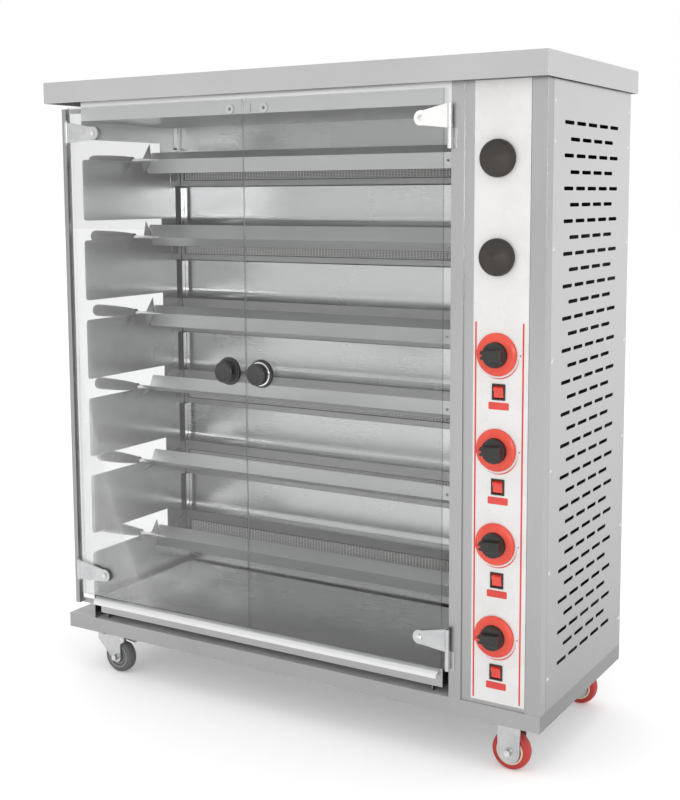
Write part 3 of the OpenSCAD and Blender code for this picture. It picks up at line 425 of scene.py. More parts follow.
# %% Painted and moulded finishes
def moulded(name, dark, light, rough, grain=900.0, depth=0.00003, coat=0.0):
    material, nodes, shader = new_material(name)
    fine = pattern(nodes, (grain, grain, grain), detail=2.0)
    broad = pattern(nodes, (18, 18, 18), detail=2.0, place=(1.3, 4.2, 0.4))
    link(blend_colours(nodes, between(nodes, broad, 0, 1), dark, light),
         shader.inputs["Base Color"])
    link(between(nodes, broad, *rough), shader.inputs["Roughness"])
    shader.inputs["Coat Weight"].default_value = coat
    bump(nodes, fine, depth, shader, 0.3)
    return material


white_enamel = moulded("white_enamel", (0.67, 0.66, 0.65), (0.71, 0.7, 0.69), (0.22, 0.34),
                       260.0, 0.00002, 0.3)
cream_enamel = moulded("cream_hinge_enamel", (0.78, 0.78, 0.76), (0.84, 0.84, 0.82),
                       (0.3, 0.45), 200.0)
catch_white = moulded("catch_white", (0.9, 0.9, 0.89), (0.95, 0.95, 0.94), (0.35, 0.5),
                      300.0)
coral_red = moulded("coral_red_skirt", (0.66, 0.055, 0.03), (0.78, 0.085, 0.05), (0.3, 0.42))
print_red = moulded("red_print", (0.6, 0.045, 0.035), (0.68, 0.06, 0.05), (0.35, 0.5), 300.0)
knob_black = moulded("dial_black", (0.01, 0.01, 0.009), (0.022, 0.021, 0.02), (0.28, 0.4))
knob_brown = moulded("plain_dial_brown", (0.016, 0.012, 0.01), (0.034, 0.027, 0.023),
                     (0.42, 0.6), 700.0, 0.00005)
door_black = moulded("door_knob_black", (0.008, 0.008, 0.009), (0.018, 0.018, 0.019),
                     (0.16, 0.26), 700.0, 0.00001, 0.4)
bezel_black = moulded("bezel_black", (0.012, 0.012, 0.012), (0.025, 0.024, 0.024), (0.4, 0.55))
rocker_red = moulded("rocker_red", (0.62, 0.03, 0.015), (0.8, 0.055, 0.03), (0.2, 0.3), 600.0,
                     0.00002, 0.5)
grip_grey = moulded("grip_plastic", (0.045, 0.045, 0.046), (0.085, 0.085, 0.085), (0.35, 0.5),
                    500.0, 0.00006)
rubber_grey = moulded("grey_tyre", (0.095, 0.096, 0.098), (0.14, 0.141, 0.143), (0.6, 0.78),
                      420.0, 0.00012)
rim_grey = moulded("grey_rim", (0.22, 0.222, 0.225), (0.3, 0.302, 0.305), (0.45, 0.6))
rubber_red = moulded("red_tyre", (0.36, 0.022, 0.018), (0.5, 0.035, 0.028), (0.4, 0.55),
                     420.0, 0.0001)
rim_cream = moulded("cream_rim", (0.62, 0.54, 0.38), (0.74, 0.67, 0.5), (0.4, 0.55))
print("moulded finishes ready")

# %% [markdown]
# ## Glass
#
# The doors are toughened glass, about 5 mm thick. A glass shader that bends light would
# darken the chamber, because lamps can't shine through it in a short render. So a clear
# film is mixed with a glossy coat by Fresnel: the pane shows what is behind it and still
# mirrors the room at a slant. The narrow edges are ground and look a little darker.

# %% Glass
def pane_glass(name, tint, least, gain, rough=(0.02, 0.08)):
    material, nodes, shader = new_material(name)
    fill(shader, {"Base Color": (0.95, 0.95, 0.95, 1), "Metallic": 1.0})
    smear = pattern(nodes, (5, 5, 9), detail=4.0)
    link(between(nodes, smear, *rough), shader.inputs["Roughness"])
    clear = fill(nodes.new("ShaderNodeBsdfTransparent"), {"Color": (*tint, 1)})
    slant = fill(nodes.new("ShaderNodeFresnel"), {"IOR": 1.45})
    mix = nodes.new("ShaderNodeMixShader")
    link(arithmetic(nodes, "MULTIPLY_ADD", slant.outputs["Fac"], gain, least),
         mix.inputs["Fac"])
    link(clear.outputs["BSDF"], mix.inputs[1])
    link(shader.outputs["BSDF"], mix.inputs[2])
    link(mix.outputs["Shader"], nodes["Material Output"].inputs["Surface"])
    return material


door_glass = pane_glass("door_glass", (0.9, 0.905, 0.903), 0.0, 0.6)
glass_edge = pane_glass("door_glass_edge", (0.7, 0.72, 0.71), 0.04, 0.3, (0.35, 0.5))
print("glass ready")

# %% [markdown]
# ## Dress the CAD sheets
#
# Most sheets keep their CAD shape. The large ones get a copy with softly bevelled folds,
# because a real fold catches a thin line of light. The CAD mesh is loose triangles, so
# the copy is merged and its flat faces are dissolved before the bevel.

# %% Sheets with soft folds
def folded_copy(node, name, body, material, width=0.0006, segments=2):
    source = frame["nodes"][node]
    piece = bpy.data.objects.new(name, source.data.copy())
    bpy.context.scene.collection.objects.link(piece)
    take(piece)
    bpy.ops.object.mode_set(mode="EDIT")
    bpy.ops.mesh.select_all(action="SELECT")
    bpy.ops.mesh.remove_doubles(threshold=0.00001)
    bpy.ops.mesh.dissolve_limited(angle_limit=math.radians(1))
    bpy.ops.object.mode_set(mode="OBJECT")
    round_edges(piece, width, segments)
    return wear(piece, body, material, [node])


def second_finish(piece, material, chosen):
    """Gives the faces that chosen(face) picks another finish."""
    piece.data.materials.append(material)
    slot = len(piece.data.materials) - 1
    count = 0
    for face in piece.data.polygons:
        if chosen(face):
            face.material_index = slot
            count += 1
    print(piece.name, count, "faces in", material.name)


cover = folded_copy("top_cover", "cover_lid", "cabinet", steel_cover, 0.0007)
deck = folded_copy("base_frame", "deck_pan", "cabinet", steel_base, 0.0007)
folded_copy("corner_post", "corner_fold", "cabinet", steel_upright)
# painted light: the cover's right-facing faces get the lighter side grey
second_finish(cover, steel_side, lambda face: face.normal.x > 0.7)
tray = folded_copy("drip_tray", "tray_pan", "tray", steel_tray, 0.0003)
tray_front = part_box("base_frame")[0][1]
# painted shade: the tray's front face gets a darker grey
second_finish(tray, steel_tray_front,
              lambda face: face.normal.y < -0.9 and abs(face.center.y - tray_front) < 0.001)
lip_back = tray_front + 0.045
# painted highlight: the slanted lip faces get a lighter grey
second_finish(tray, steel_painted_highlight,
              lambda face: 0.2 < face.normal.z < 0.97 and face.center.y < lip_back)
deck_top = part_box("drip_tray")[0][2] + 0.002
# painted light: the deck's top under the tray gets the lighter matt finish
second_finish(deck, deck_painted_light,
              lambda face: face.normal.z > 0.9 and face.center.z < deck_top
              and tray_front + 0.002 < face.center.y)
# painted shade: the deck's right-facing faces get a darker grey
second_finish(deck, steel_base_side, lambda face: face.normal.x > 0.7)
wall = folded_copy("left_wall", "wall_with_slots", "cabinet", steel_wall,
                   0.0003)
wall_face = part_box("reflector_panels")[0][0]
channel_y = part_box("reflector_panels")[0][1] - 0.003


def in_channel(face):
    """The inner faces of the channel on the wall's outside, seen through its slits."""
    inward = face.normal.x > 0.5 or face.normal.y * (channel_y - face.center.y) > 0.005
    return face.center.x < wall_face - 0.0015 and inward


# painted shade: the channel's inner faces get the near-black finish
second_finish(wall, painted_shade_black, in_channel)

# %% Finishes on the CAD nodes
stop_x = (wall_face + 0.0163, wall_face + 0.0438)
axis_of = {joint["name"]: joint["pos_m"] for joint in frame["joints"] if "pos_m" in joint}


def on_stop(face, spit, axis):
    """The dull stop plate: faces at the bar's left end that reach out past the neck."""
    corners = [spit.data.vertices[i].co for i in face.vertices]
    reach = max(math.hypot(corner.y - axis[1], corner.z - axis[2]) for corner in corners)
    return stop_x[0] < face.center.x < stop_x[1] and reach > 0.0055


def paint(node, material):
    target = frame["nodes"][node]
    target.data.materials.clear()
    target.data.materials.append(material)


for node, material in {
        "right_wall": steel_side, "back_panel": steel_side,
        "ceiling_panel": steel_ceiling, "header_rail": steel_header,
        "column_front": steel_upright, "side_panel": steel_side,
        "control_plate": white_enamel, "reflector_panels": steel_inner,
        "burner_housings": burner_iron, "burner_gauzes": zinc, "gas_manifold": zinc,
        "gas_valves": brass, "gear_motors": motor_paint, "hinge_post": steel_post,
        "switch_bezels": bezel_black, "door_catches": catch_white,
        "swivel_plates": zinc, "rigid_brackets": zinc,
        "front_fork": zinc, "rear_fork": zinc, "front_brake": zinc_bright,
        "rear_brake": zinc_bright}.items():
    paint(node, material)
for level in range(1, 7):
    spit = folded_copy(f"spit_{level}", f"spit_bar_{level}", f"turning_spit_{level}",
                       steel_bar)
    axis = axis_of[f"spit_{level}_turn"]
    second_finish(spit, steel_stop, lambda face: on_stop(face, spit, axis))
    paint(f"grip_{level}", grip_grey)
    paint(f"dial_{level}", knob_black)
print("painted", len(frame["nodes"]), "nodes")

# %% [markdown]
# ## Panes and hinges
#
# A pane's big faces are clear and its ground edges are duller, so the copy of each pane has
# two finishes: the second goes to every face that doesn't look to the front or the back.
# The hinges are split the same way, by place: the upper barrels of the right hinge are bright
# round bars, the upper left ones stay zinc, and the plates are dull zinc, apart from the upper
# right one, which is enamelled.

# %% Panes and hinges
for side in ("left", "right"):
    pane = folded_copy(f"{side}_glass", f"{side}_pane", f"{side}_door", door_glass,
                       0.0004)
    second_finish(pane, glass_edge, lambda face: abs(face.normal.y) < 0.75)
BARREL_REACH = 0.0049


def on_barrel(face, joint):
    pin = axis_of[joint]
    return math.hypot(face.center.x - pin[0], face.center.y - pin[1]) < BARREL_REACH


hinge_sets = (("left_hinge_plates", "left_door", "left_door_hinge", "zinc"),
              ("right_hinge_plates", "right_door", "right_door_hinge", "white_paint"),
              ("right_hinge_leaves", "cabinet", "right_door_hinge", "zinc"))
for node, body, joint, slot in hinge_sets:
    plates = folded_copy(node, f"{node}_soft", body, zinc, 0.0003)
    if node == "right_hinge_plates":
        second_finish(plates, cream_enamel, lambda face: face.center.z > 0.7)
    barrel = zinc if node == "left_hinge_plates" else zinc_bright
    second_finish(plates, barrel, lambda face: on_barrel(face, joint) and face.center.z > 0.7)

# %% Hinge screws
FACING_FRONT = (90, 0, 0)


def pan_head(name, radius, height):
    dome = ((0, 0.97), (0.25, 1), (0.6, 0.86), (0.9, 0.55), (1, 0.25))
    return turned(name, [(height * rise, radius * reach) for rise, reach in dome], 20)


def screws(name, places, turn, body, material, radius=0.0042, height=0.0024):
    """Pan heads at the places, joined to one piece."""
    heads = [put(pan_head("head", radius, height), place, turn) for place in places]
    return wear(joined(name, heads), body, material)


for side in ("left", "right"):
    low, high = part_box(f"{side}_hinge_plates")
    screw_x = high[0] - 0.014 if side == "left" else low[0] + 0.014
    places = [(screw_x, low[1] + 0.0002, z) for z in (low[2] + 0.019, high[2] - 0.025)]
    screws(f"{side}_hinge_screws", places, FACING_FRONT, f"{side}_door", zinc_bright, 0.0052,
           0.0016)
print("hinge screws at x =", round(screw_x, 4))

# %% [markdown]
# ## Woven gauze in front of the burners
#
# A stainless gauze keeps fat off the glowing tiles. In a plain weave every wire runs over
# one neighbour and under the next, so each wire is a wave that is two meshes long. One
# wave is drawn here: a square ring of four corners is extruded in four steps, and each
# step is shifted sideways. Two Array modifiers lay waves end to end and wires side by
# side. Every second wire is half a wave off, so a pair of wires is the unit that repeats.
# The upright ribs are thicker than the long wires, so the cloth looks ribbed. A wire's
# swing is the other wire's radius, so that they touch where they cross.

# %% One wave of wire
GAUZE_HEIGHT = 0.048
MESH_PAIRS = 7
MESH = GAUZE_HEIGHT / (2 * MESH_PAIRS)
RIB = 0.0078
BURNER_PITCH = 0.175
BURNERS = 6
RIB_RADIUS = 0.00115
WIRE_RADIUS = 0.0008


def wave_unit(name, flip, radius, swing, half_wave):
    """A wave along Z that starts at its crest at +Y, or at -Y if flip is -1."""
    clear_selection()
    bpy.ops.mesh.primitive_circle_add(vertices=4, radius=radius, fill_type="NOTHING",
                                      location=(0, flip * swing, 0))
    piece = bpy.context.object
    piece.name = name
    bpy.ops.object.mode_set(mode="EDIT")
    bpy.ops.mesh.select_mode(type="VERT")
    bpy.ops.mesh.select_all(action="SELECT")
    for step in (-1, -1, 1, 1):
        bpy.ops.mesh.extrude_region_move(TRANSFORM_OT_translate={
            "value": (0, flip * step * swing, half_wave / 2)})
    bpy.ops.mesh.select_all(action="SELECT")
    bpy.ops.mesh.normals_make_consistent(inside=False)
    bpy.ops.object.mode_set(mode="OBJECT")
    settle(piece)
    take(piece)
    bpy.ops.object.shade_smooth()
    return piece


def wave_pair(name, flip, radius, swing, half_wave, apart):
    """Two neighbours: the second is half a wave off and apart along X."""
    first = wave_unit(name, flip, radius, swing, half_wave)
    second = wave_unit(f"{name}_off", -flip, radius, swing, half_wave)
    second.location = (apart, 0, 0)
    settle(second)
    return joined(name, [first, second])


def repeat(piece, count, step):
    return apply_modifier(piece, "ARRAY", count=count, use_relative_offset=False,
                          use_constant_offset=True, constant_offset_displace=step,
                          use_merge_vertices=True, merge_threshold=0.00002)


gauze_low, gauze_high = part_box("burner_gauzes")
across = gauze_high[0] - gauze_low[0] - 0.003
rib_pairs = int(across / RIB / 2)
ribs = wave_pair("ribs", 1, RIB_RADIUS, WIRE_RADIUS, MESH, RIB)
ribs = repeat(ribs, MESH_PAIRS, (0, 0, 2 * MESH))
ribs = repeat(ribs, rib_pairs, (2 * RIB, 0, 0))
print("ribs", 2 * rib_pairs, "faces", len(ribs.data.polygons))

# %% The long wires and the six gauzes
level_wires = wave_pair("long_wires", -1, WIRE_RADIUS, RIB_RADIUS, RIB, MESH)
level_wires = repeat(level_wires, rib_pairs, (0, 0, 2 * RIB))
level_wires.rotation_euler = (0, math.radians(90), 0)
settle(level_wires)
level_wires.location = (0, 0, 2 * MESH)
settle(level_wires)
level_wires = repeat(level_wires, MESH_PAIRS, (0, 0, 2 * MESH))
first_gauze = joined("gauze_1", [ribs, level_wires])
gauze_start = (gauze_low[0] + 0.0015 + RIB / 2, gauze_low[1] + 0.00195, gauze_low[2])
put(first_gauze, gauze_start)


def on_each_burner(first, name):
    """The first burner's piece and a copy of it for each burner above."""
    return [first] + [twin(first, f"{name}_{i + 1}", (0, 0, BURNER_PITCH * i))
                      for i in range(1, BURNERS)]


gauzes = on_each_burner(first_gauze, "gauze")
wire_steel, nodes, shader = new_material("gauze_wire")
shade = pattern(nodes, (60, 60, 60), detail=2.0)
link(blend_colours(nodes, between(nodes, shade, 0, 1),
                   (0.92, 0.92, 0.91), (0.97, 0.97, 0.96)), shader.inputs["Base Color"])
link(between(nodes, shade, 0.4, 0.55), shader.inputs["Roughness"])
shader.inputs["Metallic"].default_value = 0.1
for gauze in gauzes:
    wear(gauze, "cabinet", wire_steel, ["burner_gauzes"])

# %% [markdown]
# The cut ends of the wires are clamped under a narrow strip along the top and the bottom.
# Its edge is crimped. The strip's dark tone and the row of small dark dashes along that edge
# are partly the crimped cut edge and partly painted shadow under the flange.
# A wave texture along the strip gives the dashes.

# %% Clamp strips with crimped edges
STRIP = 0.0024
crimp_and_painted_shadow, nodes, shader = new_material("crimped_strip_painted_shadow")
dashes = nodes.new("ShaderNodeTexWave")
dashes.bands_direction = "X"
fill(dashes, {"Scale": 62.0, "Distortion": 2.5, "Detail": 2.0})
link(on_object(nodes), dashes.inputs["Vector"])
dash = between(nodes, dashes.outputs["Fac"], 0.0, 1.0, 0.35, 0.75)
# dark dashes and dark tone: partly the crimped edge, partly painted shadow under the flange
link(blend_colours(nodes, dash, (0.035, 0.034, 0.033), (0.34, 0.34, 0.335)),
     shader.inputs["Base Color"])
fill(shader, {"Metallic": 0.7, "Roughness": 0.5})
bump(nodes, dash, 0.0004, shader, 0.5)
strip_y = gauze_low[1] + 0.0002
strips = []
for z in (gauze_low[2], gauze_low[2] + GAUZE_HEIGHT - STRIP):
    strips.append(block("strip", (gauze_low[0] + 0.0006, strip_y, z),
                        (gauze_high[0] - 0.0006, strip_y + 0.0008, z + STRIP), 0.0002))
first_strips = joined("clamp_strips_1", strips)
all_strips = on_each_burner(first_strips, "clamp_strips")
for strip in all_strips:
    wear(strip, "cabinet", crimp_and_painted_shadow)
print("clamp strips", len(all_strips))

# %% [markdown]
# Behind each gauze stand ceramic tiles, pierced with hundreds of fine holes where the gas
# burns. The holes are too small to model one by one, so each tile is a bevelled slab and
# its holes are a Voronoi pattern that darkens the clay, painted shade in the holes, and sinks
# it with a bump. The clay is kept dark all over as painted shade behind the gauze.

# %% Burner tiles
first_low = (gauze_low[0] + 0.002, gauze_low[1], gauze_low[2])
first_high = (gauze_high[0] - 0.002, gauze_low[1], gauze_low[2] + GAUZE_HEIGHT)
clay_painted_shade, nodes, shader = new_material("pierced_clay_painted_shade")
holes = fill(nodes.new("ShaderNodeTexVoronoi"), {"Scale": 420.0, "Randomness": 0.0})
link(on_object(nodes), holes.inputs["Vector"])
rim = between(nodes, holes.outputs["Distance"], 0.0, 1.0, 0.25, 0.45)
# painted shade: the holes darken the clay, and the whole tile is kept dark behind the gauze
link(blend_colours(nodes, rim, (0.05, 0.048, 0.046), (0.3, 0.288, 0.276)),
     shader.inputs["Base Color"])
shader.inputs["Roughness"].default_value = 0.9
bump(nodes, rim, 0.001, shader, 0.6)
tiles_across = 6
TILE_GAP = 0.0007
tile_width = (first_high[0] - first_low[0]) / tiles_across
tile_back = gauze_low[1] + 0.0046
tile_slabs = []
for i in range(tiles_across):
    left = first_low[0] + i * tile_width + TILE_GAP
    right = first_low[0] + (i + 1) * tile_width - TILE_GAP
    tile_slabs.append(block(f"tile_{i + 1}", (left, tile_back - 0.0007, first_low[2] + 0.0012),
                            (right, tile_back + 0.004, first_high[2] - 0.0012), 0.0006))
first_tiles = joined("tile_row_1", tile_slabs)
tile_rows = on_each_burner(first_tiles, "tile_row")
for row in tile_rows:
    wear(row, "cabinet", clay_painted_shade)
print("tile rows", len(tile_rows))

# %% [markdown]
# ## Gas dials
#
# Each of the four lower dials has a coral skirt with white marks, a round black body and
# a bar to turn it by, with a red pointer in the bar's nose. They are turned pieces plus a
# bar that starts as a cube: its nose is narrowed by scaling the end face in edit mode.
# The two upper dials are plain.

# %% Dial parts
plate_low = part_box("control_plate")[0]
plate_face = plate_low[1]


def middle_of(node):
    low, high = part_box(node)
    return [(a + b) / 2 for a, b in zip(low, high)]


def dial_centre(number):
    x, y, z = middle_of(f"dial_{number}")
    return (x, plate_face, z)


def mount(parts, centre, body, node):
    """Turns pieces to the front, puts them on their axis and gives them their finishes."""
    for part, finish in parts:
        put(part, centre, FACING_FRONT)
        wear(part, body, finish, [node])


def pointer_bar(length, width, base, top):
    """A bar along X from -length/2 to length/2, its nose at -X narrowed."""
    bar = block("bar", (-length / 2, -width / 2, base), (length / 2, width / 2, top))
    reshape_faces(bar, lambda face: face.normal.x < -0.9,
                  lambda: bpy.ops.transform.resize(value=(1, 0.72, 0.86)))
    return round_edges(bar, 0.0022, 3)


def marked_dial(number):
    centre = dial_centre(number)
    skirt = turned(f"dial_{number}_skirt", [
        (0.001, 0.038), (0.001, 0.0392), (0.0022, 0.0395), (0.005, 0.0382), (0.0068, 0.0345),
        (0.0074, 0.033), (0.0074, 0.02)], 64)
    body = turned(f"dial_{number}_body", [
        (0.006, 0.0236), (0.0085, 0.0236), (0.0095, 0.0232), (0.0165, 0.0228),
        (0.0185, 0.0215), (0.019, 0.02)], 64)
    bar = pointer_bar(0.0405, 0.0225, 0.0175, 0.034)
    bar.location = (0.0005, 0.001, 0)
    settle(bar)
    body = joined(f"dial_{number}_body", [body, bar])
    mark = block(f"dial_{number}_pointer", (-0.0264, -0.0014, 0.019),
                 (-0.015, 0.0026, 0.0332), 0.0006)
    mount(((skirt, coral_red), (body, knob_black), (mark, print_red)), centre,
          f"gas_dial_{number}", f"dial_{number}")


def skirt_marks(number):
    """White marks on the skirt: one double at the top and single ones beside it."""
    centre = dial_centre(number)
    marks = []
    start = 0.0288
    for turn, length in ((-4, 0.0035), (4, 0.0035), (42, 0.0022), (-48, 0.0026),
                         (-90, 0.0022)):
        tick = block("tick", (-0.0007, start, 0.0068), (0.0007, start + length, 0.0073),
                     0.0002)
        tick.rotation_euler = (0, 0, math.radians(turn))
        settle(tick)
        marks.append(tick)
    ticks = put(joined(f"dial_{number}_ticks", marks), centre, FACING_FRONT)
    return wear(ticks, f"gas_dial_{number}", white_enamel)


for number in range(1, 5):
    marked_dial(number)
    skirt_marks(number)
print("marked dials at", [round(v, 3) for v in dial_centre(4)])

# %% Plain dials
for number in (5, 6):
    plain = turned(f"dial_{number}_plain", [
        (0.0016, 0.03), (0.0016, 0.0335), (0.003, 0.034), (0.0085, 0.0338), (0.012, 0.0325),
        (0.0165, 0.028), (0.0205, 0.0215), (0.0235, 0.0135), (0.0248, 0.0095),
        (0.0262, 0.0075), (0.0275, 0.0055), (0.0278, 0.003)], 64)
    mount([(plain, knob_brown)], dial_centre(number), f"gas_dial_{number}",
          f"dial_{number}")
print("plain dials done")

# %% [markdown]
# ## Print on the control plate
#
# A red line runs down each side of the lower plate, a red bar sits under each switch,
# and a thin crescent and a dot lie beside each dial. Print has almost no thickness, so
# each is a very thin piece that lies on the enamel.

# %% Printed lines, bars and crescents
PRINT = 0.00025


def printed(name, x0, x1, z0, z1, material, corner=0.0):
    piece = block(name, (x0, plate_face - PRINT, z0), (x1, plate_face, z1))
    if corner:
        take(piece)
        bpy.ops.object.mode_set(mode="EDIT")
        bpy.ops.mesh.select_mode(type="EDGE")
        bpy.ops.mesh.select_all(action="DESELECT")
        bpy.ops.object.mode_set(mode="OBJECT")
        for edge in piece.data.edges:
            a, b = (piece.data.vertices[i].co for i in edge.vertices)
            edge.select = abs(a.y - b.y) > PRINT / 2
        bpy.ops.object.mode_set(mode="EDIT")
        bpy.ops.mesh.bevel(offset=corner, segments=4)
        bpy.ops.object.mode_set(mode="OBJECT")
    return wear(piece, "cabinet", material)


def crescent(name, centre, radius, wide, start, end, material, steps=18):
    """A printed arc that is widest in its middle, drawn from a strip of faces."""
    clear_selection()
    bpy.ops.mesh.primitive_grid_add(x_subdivisions=steps, y_subdivisions=1, size=1)
    piece = bpy.context.object
    piece.name = name
    for vertex in piece.data.vertices:
        share = vertex.co.x + 0.5
        angle = math.radians(start + (end - start) * share)
        thick = wide * math.sin(math.pi * min(max(share, 0.04), 0.96))
        reach = radius + (thick if vertex.co.y > 0 else 0)
        vertex.co = (centre[0] + reach * math.cos(angle), plate_face - PRINT,
                     centre[2] + reach * math.sin(angle))
    apply_modifier(piece, "SOLIDIFY", thickness=PRINT, offset=-1)
    return wear(piece, "cabinet", material)


LINE_WIDTH, LINE_TOP = 0.0032, 0.848
for side, line_x in (("left", 0.4652), ("right", 0.558)):
    printed(f"line_{side}", line_x, line_x + LINE_WIDTH, plate_low[2] + 0.004, LINE_TOP,
            print_red)
for number in range(1, 5):
    centre = dial_centre(number)
    x, y, z = middle_of(f"rocker_{number}")
    below = z - 0.019
    printed(f"label_{number}", x - 0.02, x + 0.02, below - 0.0135, below, print_red, 0.002)
    crescent(f"crescent_{number}", centre, 0.0432, 0.0022, -112, -8, print_red)
    crescent(f"dot_{number}", (centre[0] + 0.046, 0, centre[2]), 0.0001, 0.0016, 0, 359,
             knob_black, 12)
print("print done, face at y =", round(plate_face, 4))

# %% [markdown]
# ## Rocker switches
#
# The rocker is a red moulding in a black bezel. The CAD pieces already have the right
# size, so each only gets a copy with rounded edges, and a thin clear coat gives the shine.

# %% Switches
for number in range(1, 5):
    folded_copy(f"rocker_{number}", f"rocker_cap_{number}", f"switch_{number}", rocker_red,
                0.0007, 3)
folded_copy("switch_bezels", "bezel_frames", "cabinet", bezel_black,
            0.0006, 3)
print("switches done")

# %% [markdown]
# ## Door knobs
#
# Two round knobs sit beside the gap between the doors. Each is a polished black cap on a
# wide flange, with a waist and a thin ring behind the cap. The right knob's ring is bright
# and the left one's is black. All of them are turned pieces.

# %% Door knobs
chrome = brushed_steel("knob_chrome", 0.763, 0.89, 0, (0.06, 0.14))


def door_knob(side):
    x, y, z = middle_of(f"{side}_knob")
    centre = (x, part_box(f"{side}_glass")[0][1], z)
    flange = turned(f"{side}_knob_flange", [
        (0, 0.0275), (0, 0.0287), (0.0012, 0.029), (0.0032, 0.0286), (0.0052, 0.0276),
        (0.006, 0.0258)], 64)
    waist = turned(f"{side}_knob_waist", [
        (0.0058, 0.0235), (0.0062, 0.0225), (0.0068, 0.0205), (0.0088, 0.019)], 64)
    ring = turned(f"{side}_knob_ring", [
        (0.0068, 0.021), (0.0069, 0.0234), (0.0074, 0.0242), (0.0083, 0.0243),
        (0.0088, 0.0236), (0.0089, 0.0215)], 64)
    cap = turned(f"{side}_knob_cap", [
        (0.0078, 0.0215), (0.0092, 0.0223), (0.012, 0.0225), (0.0205, 0.0225),
        (0.0228, 0.0219), (0.0243, 0.0203), (0.0249, 0.018), (0.0244, 0.0165),
        (0.024, 0.01), (0.0239, 0.004)], 64)
    back = turned(f"{side}_knob_washer", [
        (-0.0075, 0.0082), (-0.0072, 0.0094), (-0.0056, 0.01), (-0.005, 0.01)], 48)
    mount(((flange, door_black), (ring, chrome if side == "right" else door_black),
           (waist, door_black), (cap, door_black), (back, door_black)),
          centre, f"{side}_door", f"{side}_knob")
    return centre


print("knobs at", [[round(v, 3) for v in door_knob(side)] for side in ("left", "right")])

# %% [markdown]
# ## Screws
#
# Small pan-head screws hold the side panel, the back and the liner. A head is a low turned
# dome. It is only a few pixels wide in the picture, so its shine is what counts.

# %% Pan-head screws
FACING_RIGHT = (0, 90, 0)
side_low, side_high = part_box("side_panel")
side_x = side_high[0]
side_places = [(side_x - 0.0004, side_low[1] + inset, z)
               for inset in (0.008, 0.402)
               for z in (0.19, 0.39, 0.58, 0.78, 0.98, 1.17, 1.24)]
screws("side_screws", side_places, FACING_RIGHT, "cabinet", zinc_bright, 0.004, 0.0018)
back_low, back_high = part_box("back_panel")
FACING_BACK = (-90, 0, 0)
back_places = [(x, back_high[1] - 0.0003, z)
               for x in (back_low[0] + 0.012, 0.0, back_high[0] - 0.012)
               for z in (0.16, 0.52, 0.88, 1.24)]
screws("back_screws", back_places, FACING_BACK, "cabinet", zinc_bright, 0.004, 0.0006)
liner_low, liner_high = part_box("reflector_panels")
apron_places = [(liner_low[0] + share * (liner_high[0] - liner_low[0]), liner_low[1] + 0.0032,
                 0.201) for share in (0.22, 0.77)]
screws("apron_screws", apron_places, FACING_FRONT, "cabinet", zinc_bright, 0.0034)
print("screws done", len(side_places) + len(apron_places))

# %% [markdown]
# ## Small sheets
#
# Four thin folded sheets are too fine for the CAD model. Each reflector is turned forward at
# its left edge, along the wall. A narrow channel stands on the wall above the top burner; its
# flanges are painted lighter, a painted highlight, and its groove and foot near-black, painted
# shade. The tray's lip has a downturned hem, painted lighter as a painted highlight. A baffle
# behind the rear vents keeps light out of the column, and it is painted near-black as painted
# shade. Each is a block, and the hem's lower face is moved in edit mode to slant it.

# %% Returns, channel, hem and baffle
returns = []
for level in range(5):
    z0 = gauze_low[2] + 0.069 + BURNER_PITCH * level
    returns.append(block("return", (wall_face + 0.0008, liner_low[1] + 0.0002, z0 + 0.001),
                         (wall_face + 0.0022, liner_low[1] + 0.0122, z0 + 0.09), 0.0003))
wear(joined("reflector_returns", returns), "cabinet", steel_inner)
on_wall = wall_face + 0.0001
foot_z, channel_z, channel_top = 1.1855, 1.19, 1.2365
channel = [block("flange", (on_wall, y, channel_z),
                 (wall_face + 0.0012, y + wide, channel_top), 0.0003)
           for y, wide in ((0.0975, 0.005), (0.1036, 0.0054))]
# painted highlight: the channel's flanges get the lighter grey
wear(joined("wall_channel", channel), "cabinet", steel_painted_highlight)
groove = [block("groove", (on_wall, 0.1022, channel_z),
                (wall_face + 0.0005, 0.1038, channel_top)),
          block("foot", (on_wall, 0.097, foot_z), (wall_face + 0.0016, 0.1094, 1.1905),
                0.0003)]
# painted shade: the groove and foot are near-black
wear(joined("wall_channel_groove", groove), "cabinet", painted_shade_black)
tray_low, tray_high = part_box("drip_tray")
hem = block("tray_hem", (tray_low[0] + 0.001, tray_low[1] + 0.0001, tray_high[2] - 0.017),
            (tray_high[0] - 0.009, tray_low[1] + 0.0012, tray_high[2] - 0.0092))
reshape_faces(hem, lambda face: face.normal.z < -0.9,
              lambda: bpy.ops.transform.translate(value=(0, -0.0016, 0)))
round_edges(hem, 0.0003)
# painted highlight: the hem gets the lighter grey
wear(hem, "tray", steel_painted_highlight)
left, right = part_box("right_wall")[1][0] + 0.006, side_high[0] - 0.006
sheet_z = 1.02
sheets = [block("sheet", (left, back_low[1] - 0.0135, sheet_z),
                (right, back_low[1] - 0.0125, 1.2))]
for z in (sheet_z, 1.199):
    sheets.append(block("fold", (left, back_low[1] - 0.013, z),
                        (right, back_low[1] - 0.0002, z + 0.001)))
# painted shade: the baffle is near-black
wear(joined("vent_baffle", sheets), "cabinet", painted_shade_black)
print("returns", len(returns), "tray hem at y =", round(tray_low[1], 4))

# %% [markdown]
# ## Catches and the header's seam
#
# The doors are held by two white ring catches on the header, seen through the glass. A
# dark magnet sits in each ring. Between them the header has a short seam.

